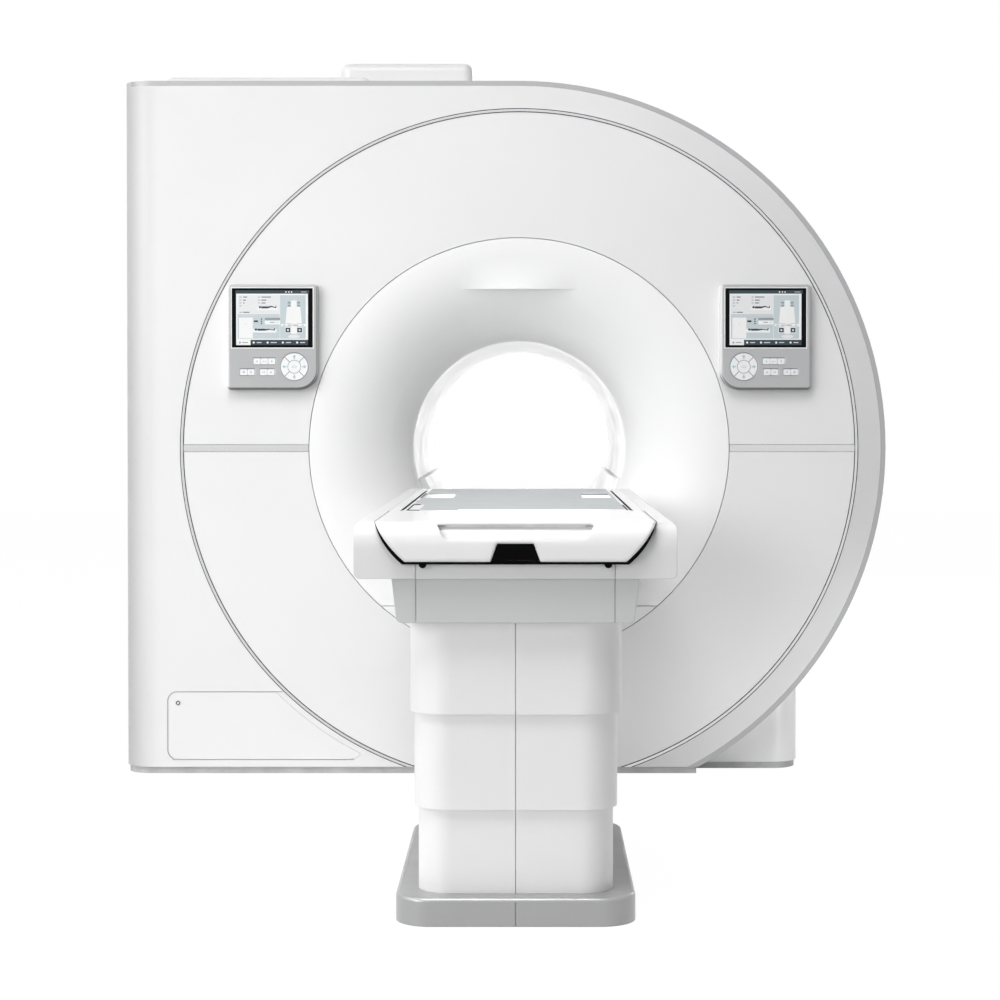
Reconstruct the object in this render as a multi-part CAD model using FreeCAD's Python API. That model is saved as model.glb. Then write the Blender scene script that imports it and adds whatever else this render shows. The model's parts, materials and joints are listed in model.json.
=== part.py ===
import FreeCAD, Part
import math
import os

# A magnetic resonance scanner: the magnet in its covers, and the patient table that lifts and slides.
# Millimetres. X to the right as seen from the table end, Y from the table into the bore, Z up.
# The origin is the floor point under the middle of the bore.

Vector = FreeCAD.Vector

# ---------------------------------------------------------------- driving dimensions: gantry
bore_radius = 325.0           # clear patient bore
gantry_depth = 1806.0         # front face to rear face
cover_radius = 1090.0         # outer arc of the front cover, about the bore axis
arc_sink = 140.0              # how far the arc's circle passes below the plinth's top
left_reach = 1178.0           # bore axis to the square left side
cover_wall = 8.0              # moulded cover skin
cover_side_depth = 90.0       # front face to the back of the front cover's side walls
corner_radius = 80.0          # upright front corner on the left
edge_trim_width = 15.0        # bright strip round the top and the arc
edge_trim_depth = 25.0
ring_margin = 87.0            # middle of the bright ring inside the outer arc
ring_bead = 7.0               # width of the bright ring
ring_proud = 2.0              # how far the ring stands off the panels
panel_gap = 2.0               # open seam between panels
panel_depth = 20.0            # face of a panel to the support frame
divider_height = 20.0         # level bright strips left and right of the bore axis
ring_panel_width = 379.0      # rim of the entry funnel to the middle of the bright ring
funnel_depth = 250.0          # rim of the funnel to the bore lip
funnel_split_margin = 154.0   # the funnel's split line above the foot of its rim
hood_foot = 474.0             # flat underside of the brow over the bore, above the bore axis
hood_reach = 18.0             # how far it stands off the funnel's skin there
hood_slope = 0.12             # how far its face leans forward, per length up
hood_face_radius = 2500.0     # its face is bent to this radius from side to side
hood_rise = 100.0             # its face has met the funnel's skin within this height
hood_half_width = 250.0       # and within this width
frame_thickness = 20.0        # support frame behind the panels
frame_hole_margin = 24.0      # funnel rim to the frame's hole
casing_inset = 30.0           # side covers inside the front cover's outline
casing_corner_radius = 60.0
base_box_reach = 845.0        # square foot of the right side cover
base_box_gap = 2.0            # its front behind the front cover's walls
plinth_height = 20.0
plinth_inset = 6.0
liner_wall = 8.0
body_coil_wall = 9.7
body_coil_length = 700.0
gradient_wall = 96.7
gradient_end_gap = 53.0       # behind the bore's lips
magnet_lift = 50.0            # vessel above the plinth
magnet_end_gap = 63.0         # vessel to the support frames
magnet_edge_bevel = 40.0
magnet_foot_x = 500.0
magnet_foot_inset = 250.0     # middle of a foot inside the vessel's end
magnet_foot_size = 220.0
nest_gap = 0.3                # between nested pieces that don't move
turret_centre_x = -369.0
turret_width = 432.0
turret_length = 500.0
turret_height = 189.0
turret_radius = 32.0
turret_wall = 6.0
neck_radius = 120.0
neck_clearance = 30.0
cold_head_steps = ((91.0, 16.0), (70.0, 65.0), (35.0, 130.0))    # radius and top of each step
duct_side_margin = 98.0       # low cover on the roof, inside the left side
duct_width = 630.0
duct_front_gap = 63.0         # behind the front cover's walls
duct_turret_gap = 30.0        # its back in front of the turret
duct_height = 67.0
duct_radius = 30.0

# ---------------------------------------------------------------- driving dimensions: service hatch
hatch_side_margin = 132.0     # inside the left side
hatch_width = 576.0
hatch_foot_margin = 24.0      # above the plinth
hatch_tall = 199.0
hatch_radius = 27.0
hatch_ring_margin = 17.0      # hatch edge to the ring's hole
hatch_gap = 0.6
hatch_thickness = 4.0
hatch_barrel_radius = 1.5     # hinge barrel along the foot, half of it in front of the face
hatch_barrel_margin = 3.0     # its ends inside the straight part of the foot
pin_clearance = 0.05
pin_end_gap = 1.0             # a pin's end to the bottom of its hole
lock_inset_x = 30.0
lock_inset_z = 32.0
lock_radius = 6.5
lock_head_radius = 9.0
lock_head_height = 1.6
lock_cam_length = 34.0
lock_cam_width = 12.0
lock_cam_thickness = 3.0
lock_slot_width = 2.0
lock_slot_depth = 0.8

# ---------------------------------------------------------------- driving dimensions: consoles
console_ring_margin = 202.3   # its middle inside the bright ring
console_bearing = 24.261      # degrees from level, seen from the bore axis
console_width = 271.0
console_tall = 312.0
console_depth = 28.0
console_step = 5.0            # raised front inside the base's edge
console_base_depth = 20.0
console_corner_radius = 12.0
console_big_radius = 60.0     # lower corner towards the bore
bezel_width = 240.0
bezel_tall = 176.0
bezel_rise = 57.0             # its middle above the console's middle
bezel_depth = 4.0
wheel_offset = 65.0           # towards the bore
wheel_drop = 87.5
wheel_radius = 40.0
wheel_key_radius = 18.5
wheel_groove = 1.6
key_width = 21.0
key_tall = 18.0
key_corner = 2.5
key_pitch = 21.8
key_row_drops = (71.6, 103.7)
key_row_starts = ((-45.3,), (-84.8, -26.0))
key_row_counts = (3, 2)
key_proud = 2.0
key_thickness = 6.0
key_travel = 1.5
key_gap = 0.3

# ---------------------------------------------------------------- driving dimensions: table
deck_drop = 120.0             # top of the tabletop below the bore axis
table_far_gap = 15.0          # table's far end to the gantry's face
table_reach = 1913.0          # gantry's face to the front of the table's foot
base_length = 865.0
base_half_width = 255.0
base_height = 60.0
base_radius = 78.0
base_top_round = 9.0
column_setback = 28.0         # top stage behind the front of the foot
column_half_length = 363.0    # top stage
column_half_width = 226.5     # top stage
column_radius = 88.0          # top stage, upright corners
stage_step = 9.0              # each stage inside the one above
stage_gap = 0.3
stage_seam = 1.0              # open seam down the middle of each cover
stage_overlap_low = 40.0      # lower rim of the middle stage below the bottom stage's top
stage_overlap_high = 22.0     # lower rim of the top stage below the middle stage's top
lift_travel = 340.0
stack_clearance = 20.0        # lowest tray over the fixed stage
carrier_plate = 6.0
lift_post_half = 110.0
lift_post_wall = 10.0
lift_end_gap = 5.0
tray_depth = 93.0
tray_half_foot = 248.0
tray_half_top = 259.0
tray_setback = 12.0           # behind the body's front
tray_length = 1500.0
tray_radius = 11.0
body_depth = 119.0
body_side_margin = 42.0       # side of the body outside its channel
body_overhang = 16.0          # its front ahead of the foot's
body_flat_margin = 27.0       # flat top beside the channel, outside it rounds down
body_shoulder_height = 18.0   # where the side turns upright, below the top
body_front_drop = 56.0
body_brow_length = 104.0      # front face to where the top is level
body_foot_radius = 12.0
seal_width = 6.0
seal_tip_width = 1.5          # at the table's top, where the seal thins out
seal_swell = 0.4              # how much more the pocket bulges than the nose, as a share of the seal
channel_margin = 30.0         # side of the table's channel inside the bore's radius
channel_depth = 53.0
guide_width = 25.0
guide_gap = 0.8               # thin seam between a guide and the body
nose_overhang = 22.0          # its front ahead of the body's
nose_depth = 82.0
nose_half_foot = 230.0
nose_bulge = 7.0
nose_front_drop = 50.0
nose_brow_length = 92.0
grip_half_top = 163.0
grip_half_foot = 147.0
grip_drop = 7.0               # top of the grip below the table's top
grip_tall = 28.0
grip_inset = 12.0             # the grip's face behind the nose's
grip_slot_tall = 4.5          # finger slot under the grip's upper lip
grip_slot_reach = 96.0        # its back behind the nose's front
grip_radius = 8.0
latch_half_foot = 52.0
latch_half_top = 38.0
latch_tall = 38.0
latch_depth = 32.0
lever_foot_gap = 3.0          # above the nose's foot
lever_side_gap = 1.0
lever_thickness = 6.0
lever_setback = 2.0           # behind the nose's front, with room for fingers behind the lever
lever_pin_radius = 2.5
lever_pin_drop = 8.0
lever_pin_reach = 7.0
front_seam_offset = 208.0     # upright seams on the fronts of the body and the tray, off the middle
front_seam_width = 1.4
front_seam_depth = 2.0
bumper_offset = 193.0
bumper_radius = 8.0
tabletop_side_gap = 5.0       # to the guides
tabletop_taper = 25.0         # each side draws in this much at the foot
tabletop_foot_gap = 3.0       # to the channel's floor
tabletop_front_gap = 5.0
tabletop_length = 1400.0
tabletop_end_inset = 8.0
runner_offset = 190.0
runner_width = 24.0
runner_gap = 0.3
deck_side_margin = 9.0
deck_thickness = 4.0
deck_front_margin = 12.0
deck_slot_width = 77.0
deck_slot_length = 320.0
deck_slot_inset = 7.0
deck_slot_from_end = 350.0
deck_notch_width = 28.0
deck_notch_length = 300.0
deck_step_length = 54.0       # the near edge steps back here
deck_step_x = -137.0          # right of this line
rail_rise = 23.0              # side rails in the bore, above the deck
rail_top_width = 17.0
rail_break_gap = 10.0         # beside the tabletop's top edge
rail_break_drop = 7.0         # below the deck
rail_foot_gap = 15.0          # beside the tabletop's foot
bridge_tongue_half = 200.0
bridge_tongue_depth = 36.0
bridge_end_gap = 12.0
bridge_step = 1.5             # its floor below the table's, so that the runners never catch on it
floor_duct_half = 150.0
floor_duct_slope = 12.0
floor_duct_height = 18.0

# ---------------------------------------------------------------- worked out
iso_height = cover_radius + plinth_height - arc_sink
front_y = -gantry_depth / 2
cover_back = front_y + cover_side_depth
frame_front = front_y + panel_depth
frame_back = frame_front + frame_thickness
lip_y = front_y + funnel_depth
top_z = iso_height + cover_radius
casing_left = left_reach - casing_inset
casing_radius = cover_radius - casing_inset
casing_top = iso_height + casing_radius
ring_radius = cover_radius - ring_margin
ring_hole = ring_radius + ring_bead / 2 + panel_gap
ring_panel_edge = ring_radius - ring_bead / 2 - panel_gap
funnel_radius = ring_radius - ring_panel_width
panel_inner_edge = funnel_radius + panel_gap
frame_hole = funnel_radius - frame_hole_margin
divider_top = iso_height + divider_height / 2
divider_foot = divider_top - divider_height
funnel_split_height = iso_height - funnel_radius + funnel_split_margin
console_distance = ring_radius - console_ring_margin
console_offset = console_distance * math.cos(math.radians(console_bearing))
console_height = iso_height + console_distance * math.sin(math.radians(console_bearing))
console_face = front_y - console_depth
deck_height = iso_height - deck_drop
far_end = front_y - table_far_gap
base_front = front_y - table_reach
base_back = base_front + base_length
body_front = base_front - body_overhang
body_foot = deck_height - body_depth
tray_foot = body_foot - tray_depth
tray_front = body_front + tray_setback
tray_low = tray_foot - lift_travel
lower_top = tray_low - stack_clearance
middle_top = tray_low + lift_travel / 2 - lift_end_gap
middle_foot = lower_top - stage_overlap_low
upper_foot = middle_top - stage_overlap_high
column_centre_y = base_front + column_setback + column_half_length
nose_front = body_front - nose_overhang
nose_foot = deck_height - nose_depth
grip_top = deck_height - grip_drop
grip_foot = grip_top - grip_tall
latch_top = nose_foot + latch_tall
lever_foot = nose_foot + lever_foot_gap
channel_floor = deck_height - channel_depth
channel_half_width = bore_radius - channel_margin
body_half_width = channel_half_width + body_side_margin
body_top_flat = channel_half_width + body_flat_margin
guide_inner = channel_half_width - guide_width
tabletop_half_top = guide_inner - tabletop_side_gap
tabletop_half_foot = tabletop_half_top - tabletop_taper
tabletop_foot = channel_floor + tabletop_foot_gap
tabletop_back = far_end - tabletop_end_inset
tabletop_front = tabletop_back - tabletop_length
deck_half_width = tabletop_half_top - deck_side_margin
bridge_floor = channel_floor - bridge_step
rail_top = deck_height + rail_rise
rail_break_x = tabletop_half_top + rail_break_gap
rail_break_z = deck_height - rail_break_drop
rail_foot_x = tabletop_half_foot + rail_foot_gap
hatch_left = -left_reach + hatch_side_margin
hatch_right = hatch_left + hatch_width
hatch_foot = plinth_height + hatch_foot_margin
hatch_top = hatch_foot + hatch_tall
liner_outer = bore_radius + liner_wall
body_coil_inner = liner_outer + nest_gap
gradient_inner = body_coil_inner + body_coil_wall + nest_gap
magnet_bore = gradient_inner + gradient_wall + nest_gap
magnet_radius = iso_height - plinth_height - magnet_lift
magnet_half = -frame_back - magnet_end_gap
lock_x = hatch_left + lock_inset_x
lock_z = hatch_top - lock_inset_z
hatch_axis_z = hatch_foot + hatch_gap
BEYOND = 10.0                 # how far cutting shapes run past what they cut
FAR = 4000.0
LID_ROUNDING = 0.9            # a lid's top edge radius, as a share of its upright corners'


# ---------------------------------------------------------------- helpers
def upright(y):
    """Places (x, z) in the plane across the bore at y."""
    return lambda u, w: Vector(u, y, w)


def lengthwise(x):
    """Places (y, z) in the plane along the bore at x."""
    return lambda u, w: Vector(x, u, w)


def level(z):
    """Places (x, y) in the level plane at z."""
    return lambda u, w: Vector(u, w, z)


def face(place, start, *steps):
    """A closed flat face. A step is a corner, or (point on an arc, end of the arc)."""
    edges = []
    here = place(*start)
    for step in steps + (start,):
        if isinstance(step[0], tuple):
            through = place(*step[0])
            end = place(*step[1])
            edges.append(Part.Arc(here, through, end).toShape())
        else:
            end = place(*step)
            if end.distanceToPoint(here) > Part.Precision.confusion():
                edges.append(Part.LineSegment(here, end).toShape())
        here = end
    return Part.Face(Part.Wire(edges))


def along_y(outline, y0, y1):
    """Extrudes an outline made at y0."""
    return outline.extrude(Vector(0, y1 - y0, 0))


def along_z(outline, z0, z1):
    """Extrudes an outline made at z0."""
    return outline.extrude(Vector(0, 0, z1 - z0))


def box(x0, x1, y0, y1, z0, z1):
    return Part.makeBox(x1 - x0, y1 - y0, z1 - z0, Vector(x0, y0, z0))


def bore_cylinder(radius, y0, y1):
    return Part.makeCylinder(radius, y1 - y0, Vector(0, y0, iso_height), Vector(0, 1, 0))


def along_x(outline, x0, x1):
    """Extrudes an outline made at x0."""
    return outline.extrude(Vector(x1 - x0, 0, 0))


def bore_ring(inner, outer, y0, y1):
    return bore_cylinder(outer, y0, y1).cut(bore_cylinder(inner, y0 - BEYOND, y1 + BEYOND))


def rod_y(radius, x, z, y0, y1):
    return Part.makeCylinder(radius, y1 - y0, Vector(x, y0, z), Vector(0, 1, 0))


def rod_x(radius, y, z, x0, x1):
    return Part.makeCylinder(radius, x1 - x0, Vector(x0, y, z), Vector(1, 0, 0))


def mirrored(shape, normal):
    return shape.mirror(Vector(0, 0, 0), normal)


def to_rear(shape):
    return mirrored(shape, Vector(0, 1, 0))


def tidy(shape):
    """The shape with needless seams removed, as one solid where it is one."""
    clean = shape.removeSplitter()
    solids = clean.Solids
    return solids[0] if len(solids) == 1 else Part.makeCompound(solids)


def bend(start, tangent, end):
    """An arc step that leaves start along the tangent and reaches end."""
    du = end[0] - start[0]
    dw = end[1] - start[1]
    normal = (-tangent[1], tangent[0])
    across = du * normal[0] + dw * normal[1]
    radius = (du ** 2 + dw ** 2) / (2 * across)
    centre = (start[0] + normal[0] * radius, start[1] + normal[1] * radius)
    mean_u = start[0] + end[0] - 2 * centre[0]
    mean_w = start[1] + end[1] - 2 * centre[1]
    scale = abs(radius) / math.hypot(mean_u, mean_w)
    return ((centre[0] + mean_u * scale, centre[1] + mean_w * scale), end)


def corner_arc(cx, cw, radius, degrees):
    """Middle point of a rounded corner whose centre is (cx, cw)."""
    angle = math.radians(degrees)
    return (cx + radius * math.cos(angle), cw + radius * math.sin(angle))


def rounded_rectangle(place, u0, u1, w0, w1, radii):
    """Radii run from the lower left corner anticlockwise."""
    a, b, c, d = radii
    return face(
        place,
        (u0 + a, w0),
        (u1 - b, w0),
        (corner_arc(u1 - b, w0 + b, b, -45), (u1, w0 + b)),
        (u1, w1 - c),
        (corner_arc(u1 - c, w1 - c, c, 45), (u1 - c, w1)),
        (u0 + d, w1),
        (corner_arc(u0 + d, w1 - d, d, 135), (u0, w1 - d)),
        (u0, w0 + a),
        (corner_arc(u0 + a, w0 + a, a, 225), (u0 + a, w0)),
    )


def widening_section(place, half_foot, half_top, foot, top, radius):
    """A section that widens upwards, with rounded lower corners, centred on x = 0."""
    low_edge = half_foot + (half_top - half_foot) / (top - foot) * radius
    start = (half_foot - radius, foot)
    right = bend(start, (1, 0), (low_edge, foot + radius))
    left_middle = (-right[0][0], right[0][1])
    return face(
        place,
        (-start[0], foot),
        start,
        right,
        (half_top, top),
        (-half_top, top),
        (-low_edge, foot + radius),
        (left_middle, (-start[0], foot)),
    )


def rounded_block(half, y0, y1, radius, z0, z1):
    """A block with rounded upright corners, centred on x = 0."""
    return along_z(rounded_rectangle(level(z0), -half, half, y0, y1, (radius,) * 4), z0, z1)


# ---------------------------------------------------------------- gantry covers
def foot_x(radius, z):
    """Where the arc of this radius meets the height z."""
    return math.sqrt(radius ** 2 - (iso_height - z) ** 2)


def gantry_prism(left, radius, shoulder, y0, y1):
    """The gantry's front outline, square on the left and round on the right."""
    top = iso_height + radius
    corner = [(-left, top)]
    if shoulder > 0:
        corner = [(-left + shoulder, top),
                  (corner_arc(-left + shoulder, top - shoulder, shoulder, 135), (-left, top - shoulder))]
    outline = face(
        upright(y0),
        (-left, plinth_height),
        (foot_x(radius, plinth_height), plinth_height),
        ((radius, iso_height), (0, top)),
        *corner,
    )
    return along_y(outline, y0, y1)


def rounded_gantry(inset, arc_inset, y0, y1):
    """The outline with the upright front corner on the left rounded."""
    left = left_reach - inset
    radius = corner_radius - inset
    front = front_y + inset
    plan = face(
        level(0),
        (-left, y1),
        (-left, front + radius),
        (corner_arc(-left + radius, front + radius, radius, 225), (-left + radius, front)),
        (FAR, front),
        (FAR, y1),
    )
    prism = gantry_prism(left, cover_radius - arc_inset, 0, y0, y1)
    return prism.common(along_z(plan, 0, FAR))


def trim_band():
    """The room that the bright edge strip takes from the front cover."""
    strip_back = front_y + edge_trim_depth
    inside = gantry_prism(left_reach + BEYOND, cover_radius - edge_trim_width, 0,
                          front_y - BEYOND, strip_back + BEYOND)
    return rounded_gantry(0, 0, front_y, strip_back).cut(inside)


def cover_shell(hole, trim_width):
    """A moulded end cover: face, side walls and a rim round its hole."""
    shell = rounded_gantry(0, 0, front_y, cover_back)
    behind_trim = front_y + edge_trim_depth + cover_wall
    voids = ((trim_width + cover_wall, front_y + cover_wall), (cover_wall, behind_trim))
    for arc_inset, start in voids:
        shell = shell.cut(rounded_gantry(cover_wall, arc_inset, start, cover_back))
    rim = bore_ring(hole, hole + cover_wall, front_y, frame_front)
    rim = rim.common(box(-FAR, FAR, front_y, frame_front, plinth_height, FAR))
    return shell.fuse(rim).cut(bore_cylinder(hole, front_y - BEYOND, cover_back))


def front_cover():
    cover = cover_shell(ring_hole, edge_trim_width).cut(trim_band())
    cover = cover.cut(hatch_block(front_y - BEYOND, front_y + 2 * cover_wall, 0))
    return tidy(cover.cut(hatch_barrel(hatch_barrel_radius + nest_gap, 0)))


def rear_cover():
    return tidy(to_rear(cover_shell(panel_inner_edge, 0)))


def edge_trim():
    return tidy(trim_band())


def ring_annulus(inner, outer, y0, y1):
    """A ring about the bore, cut level at the plinth."""
    return bore_ring(inner, outer, y0, y1).common(box(-FAR, FAR, y0, y1, plinth_height, FAR))


def ring_panel(z0, z1):
    """Half of the big round panel: a face with a rim behind its edges."""
    panel = ring_annulus(panel_inner_edge, ring_panel_edge, front_y, frame_front)
    panel = panel.common(box(-FAR, FAR, front_y, frame_front, z0, z1))
    hollow = bore_ring(panel_inner_edge + cover_wall, ring_panel_edge - cover_wall,
                       front_y + cover_wall, frame_front + BEYOND)
    hollow = hollow.common(box(-FAR, FAR, front_y, FAR, z0 + cover_wall, z1 - cover_wall))
    return tidy(panel.cut(hollow))


def ring_panel_upper():
    return ring_panel(divider_top + panel_gap / 2, FAR)


def ring_panel_lower():
    return ring_panel(plinth_height, divider_foot - panel_gap / 2)


def ring_trim():
    """The bright ring and the two level strips that split the round panel."""
    ring = ring_annulus(ring_radius - ring_bead / 2, ring_radius + ring_bead / 2,
                        front_y - ring_proud, frame_front)
    strip = box(0, FAR, front_y - ring_proud / 2, frame_front, divider_foot, divider_top)
    strip = tidy(strip.common(bore_ring(panel_inner_edge, ring_panel_edge, front_y - BEYOND, frame_front)))
    return Part.makeCompound([tidy(ring), strip, mirrored(strip, Vector(1, 0, 0))])


def cover_frames():
    """Plates behind the front and rear panels, standing on the plinth."""
    inset = casing_inset + cover_wall / 4
    plate = gantry_prism(left_reach - inset, cover_radius - inset, casing_corner_radius,
                         frame_front, frame_back)
    fit = cover_wall + nest_gap
    plate = plate.common(rounded_gantry(fit, fit, frame_front, frame_back))
    plate = plate.cut(bore_cylinder(frame_hole, frame_front - BEYOND, frame_back + BEYOND))
    window = plate.cut(hatch_block(frame_front - BEYOND, frame_back + BEYOND, 0))
    return Part.makeCompound([window, to_rear(plate)])


def funnel_radii():
    """Two tangent arcs of an eighth turn each: the one at the bore lip and the one at the rim."""
    share = math.sqrt(0.5)
    reach = funnel_radius - bore_radius
    at_lip = (funnel_depth * share - reach * (1 - share)) / (2 * share - 1)
    at_rim = (reach * share - funnel_depth * (1 - share)) / (2 * share - 1)
    return at_lip, at_rim


def funnel_point(wall, turn):
    """A point of the funnel's line, from the lip at 0 to the rim at a quarter turn."""
    at_lip, at_rim = funnel_radii()
    if turn <= math.pi / 4:
        radius = bore_radius + at_lip - (at_lip - wall) * math.cos(turn)
        return Vector(radius, lip_y - (at_lip - wall) * math.sin(turn), iso_height)
    radius = funnel_radius - (at_rim - wall) * math.cos(turn)
    return Vector(radius, front_y + at_rim - (at_rim - wall) * math.sin(turn), iso_height)


def funnel_line(wall, end_turn):
    """The funnel's two arcs, from the lip out to a turn."""
    stops = (0, math.pi / 4, end_turn)
    arcs = []
    for start, stop in zip(stops, stops[1:]):
        turns = (start, (start + stop) / 2, stop)
        arcs.append(Part.Arc(*[funnel_point(wall, turn) for turn in turns]).toShape())
    return arcs


def turned(edges):
    """Revolves a closed outline about the bore axis."""
    wire = Part.Wire(Part.__sortEdges__(edges))
    return Part.Face(wire).revolve(Vector(0, 0, iso_height), Vector(0, 1, 0), 360)


def lines(*points):
    return [Part.LineSegment(a, b).toShape() for a, b in zip(points, points[1:])]


def funnel():
    """The whole entry funnel: a trumpet wall and a rim that bears on the frame."""
    back_turn = math.acos(cover_wall / (funnel_radii()[1] - cover_wall))
    lip = funnel_point(0, 0)
    rim = funnel_point(0, math.pi / 2)
    inner_rim = funnel_point(cover_wall, back_turn)
    inner_lip = funnel_point(cover_wall, 0)
    rim_back = Vector(rim.x, frame_front, iso_height)
    inner_back = Vector(inner_rim.x, frame_front, iso_height)
    edges = funnel_line(0, math.pi / 2) + lines(rim, rim_back, inner_back, inner_rim)
    return turned(edges + funnel_line(cover_wall, back_turn) + lines(inner_lip, lip))


def funnel_air():
    """The clear space in front of the funnel's wall."""
    lip = funnel_point(0, 0)
    rim = funnel_point(0, math.pi / 2)
    axis_lip = Vector(0, lip.y, iso_height)
    axis_rim = Vector(0, rim.y, iso_height)
    return turned(funnel_line(0, math.pi / 2) + lines(rim, axis_rim, axis_lip, lip))


def hood():
    """The brow over the bore: a broad leaning face that runs out into the funnel, with a flat underside."""
    foot = iso_height + hood_foot
    turn = math.acos((funnel_radius - hood_foot) / funnel_radii()[1])
    middle_y = funnel_point(0, turn).y - hood_reach
    side_y = middle_y + hood_face_radius - math.sqrt(hood_face_radius ** 2 - hood_half_width ** 2)
    left = Vector(-hood_half_width, side_y, foot)
    right = Vector(hood_half_width, side_y, foot)
    face_line = Part.Arc(left, Vector(0, middle_y, foot), right).toShape()
    back_right = Vector(hood_half_width, lip_y, foot)
    back_left = Vector(-hood_half_width, lip_y, foot)
    outline = Part.Face(Part.Wire([face_line] + lines(right, back_right, back_left, left)))
    brow = outline.extrude(Vector(0, -hood_slope * hood_rise, hood_rise))
    return brow.common(funnel_air())


def funnel_upper():
    above = box(-FAR, FAR, -FAR, 0, funnel_split_height + panel_gap / 2, FAR)
    return tidy(funnel().common(above).fuse(hood()))


def funnel_lower():
    below = box(-FAR, FAR, -FAR, 0, 0, funnel_split_height - panel_gap / 2)
    return tidy(funnel().common(below))


def rear_funnel():
    return tidy(to_rear(funnel()))


def casing():
    """The long casing between the end covers, open at both ends and at the floor."""
    rear = -frame_back
    outer = gantry_prism(casing_left, casing_radius, casing_corner_radius, frame_back, rear)
    inner = gantry_prism(casing_left - cover_wall, casing_radius - cover_wall,
                         casing_corner_radius - cover_wall, frame_back, rear)
    return outer.cut(inner)


def left_side_cover():
    side = casing().common(box(-FAR, -panel_gap / 2, -FAR, FAR, 0, FAR))
    neck = Part.makeCylinder(neck_radius + neck_clearance, FAR, Vector(turret_centre_x, 0, iso_height))
    return tidy(side.cut(neck))


def base_box(inset, bottom):
    """The square foot of the right side cover, with rounded upright corners."""
    front = cover_back + base_box_gap + inset
    reach = base_box_reach - inset
    roof = iso_height - math.sqrt(casing_radius ** 2 - base_box_reach ** 2) - inset
    radius = corner_radius - inset
    plan = rounded_rectangle(level(bottom), -reach, reach, front, -front, (radius,) * 4)
    block = along_z(plan, bottom, roof)
    return block.common(box(panel_gap / 2 + inset, FAR, -FAR, FAR, 0, FAR))


def right_side_cover():
    side = casing().common(box(panel_gap / 2, FAR, -FAR, FAR, 0, FAR))
    foot = base_box(0, plinth_height).cut(base_box(cover_wall, 0))
    foot = foot.cut(bore_cylinder(casing_radius - cover_wall, -FAR / 2, FAR / 2))
    inside = base_box(cover_wall, 0)
    return tidy(side.cut(inside).fuse(foot))


def base_plinth():
    """The dark recessed foot under the covers."""
    front = front_y + plinth_inset
    left = left_reach - plinth_inset
    right = foot_x(cover_radius, plinth_height) - plinth_inset
    radius = corner_radius - plinth_inset
    plan = face(
        level(0),
        (-left, -front),
        (-left, front + radius),
        (corner_arc(-left + radius, front + radius, radius, 225), (-left + radius, front)),
        (right, front),
        (right, -front),
    )
    box_front = cover_back + base_box_gap + plinth_inset
    box_plan = rounded_rectangle(level(0), 0, base_box_reach - plinth_inset, box_front, -box_front,
                                 (plinth_inset, radius, radius, plinth_inset))
    return tidy(along_z(plan, 0, plinth_height).fuse(along_z(box_plan, 0, plinth_height)))


def top_edges(block, z0, z1):
    return [edge for edge in block.Edges if edge.BoundBox.ZMin > (z0 + z1) / 2]


def lid(half, y0, y1, radius, height):
    """A moulded box on the roof, open below, with rounded upright corners and top edges."""
    z0 = casing_top
    z1 = casing_top + height
    rounding = radius * LID_ROUNDING
    outer = rounded_block(half, y0, y1, radius, z0, z1)
    outer = outer.makeFillet(rounding, top_edges(outer, z0, z1))
    wall = turret_wall
    hollow = rounded_block(half - wall, y0 + wall, y1 - wall, radius - wall, z0, z1 - wall)
    hollow = hollow.makeChamfer(rounding - wall, top_edges(hollow, z0, z1))
    return outer.cut(hollow)


def turret_cover():
    """The box over the magnet's service turret, standing on the side cover's roof."""
    cover = lid(turret_width / 2, -turret_length / 2, turret_length / 2, turret_radius, turret_height)
    cover.translate(Vector(turret_centre_x, 0, 0))
    return tidy(cover)


def top_duct_cover():
    """The low cover over the cable way on the roof."""
    half = duct_width / 2
    back = -turret_length / 2 - duct_turret_gap
    cover = lid(half, cover_back + duct_front_gap, back, duct_radius, duct_height)
    cover.translate(Vector(-left_reach + duct_side_margin + half, 0, 0))
    return tidy(cover)


# ---------------------------------------------------------------- magnet
def magnet_vessel():
    """The steel vessel with its bore, four feet and the neck of its turret."""
    half = magnet_half
    vessel = bore_cylinder(magnet_radius, -half, half)
    rims = [edge for edge in vessel.Edges if len(edge.Vertexes) == 1]
    vessel = vessel.makeChamfer(magnet_edge_bevel, rims)
    for x in (-magnet_foot_x, magnet_foot_x):
        for y in (magnet_foot_inset - half, half - magnet_foot_inset):
            reach = magnet_foot_size / 2
            foot = box(x - reach, x + reach, y - reach, y + reach, plinth_height, iso_height)
            vessel = vessel.fuse(foot)
    neck = Part.makeCylinder(neck_radius, casing_top - iso_height, Vector(turret_centre_x, 0, iso_height))
    bore = bore_cylinder(magnet_bore, -half - BEYOND, half + BEYOND)
    return tidy(vessel.fuse(neck).cut(bore))


def gradient_coil():
    half = -lip_y - gradient_end_gap
    return tidy(bore_ring(gradient_inner, gradient_inner + gradient_wall, -half, half))


def body_coil():
    half = body_coil_length / 2
    return tidy(bore_ring(body_coil_inner, body_coil_inner + body_coil_wall, -half, half))


def bore_liner():
    return tidy(bore_ring(bore_radius, liner_outer, lip_y, -lip_y))


def cold_head():
    """The cryocooler on the neck: a flange, a drum and a smaller head."""
    head = None
    for radius, height in cold_head_steps:
        step = Part.makeCylinder(radius, height, Vector(turret_centre_x, 0, casing_top))
        head = step if head is None else head.fuse(step)
    return tidy(head)


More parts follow.
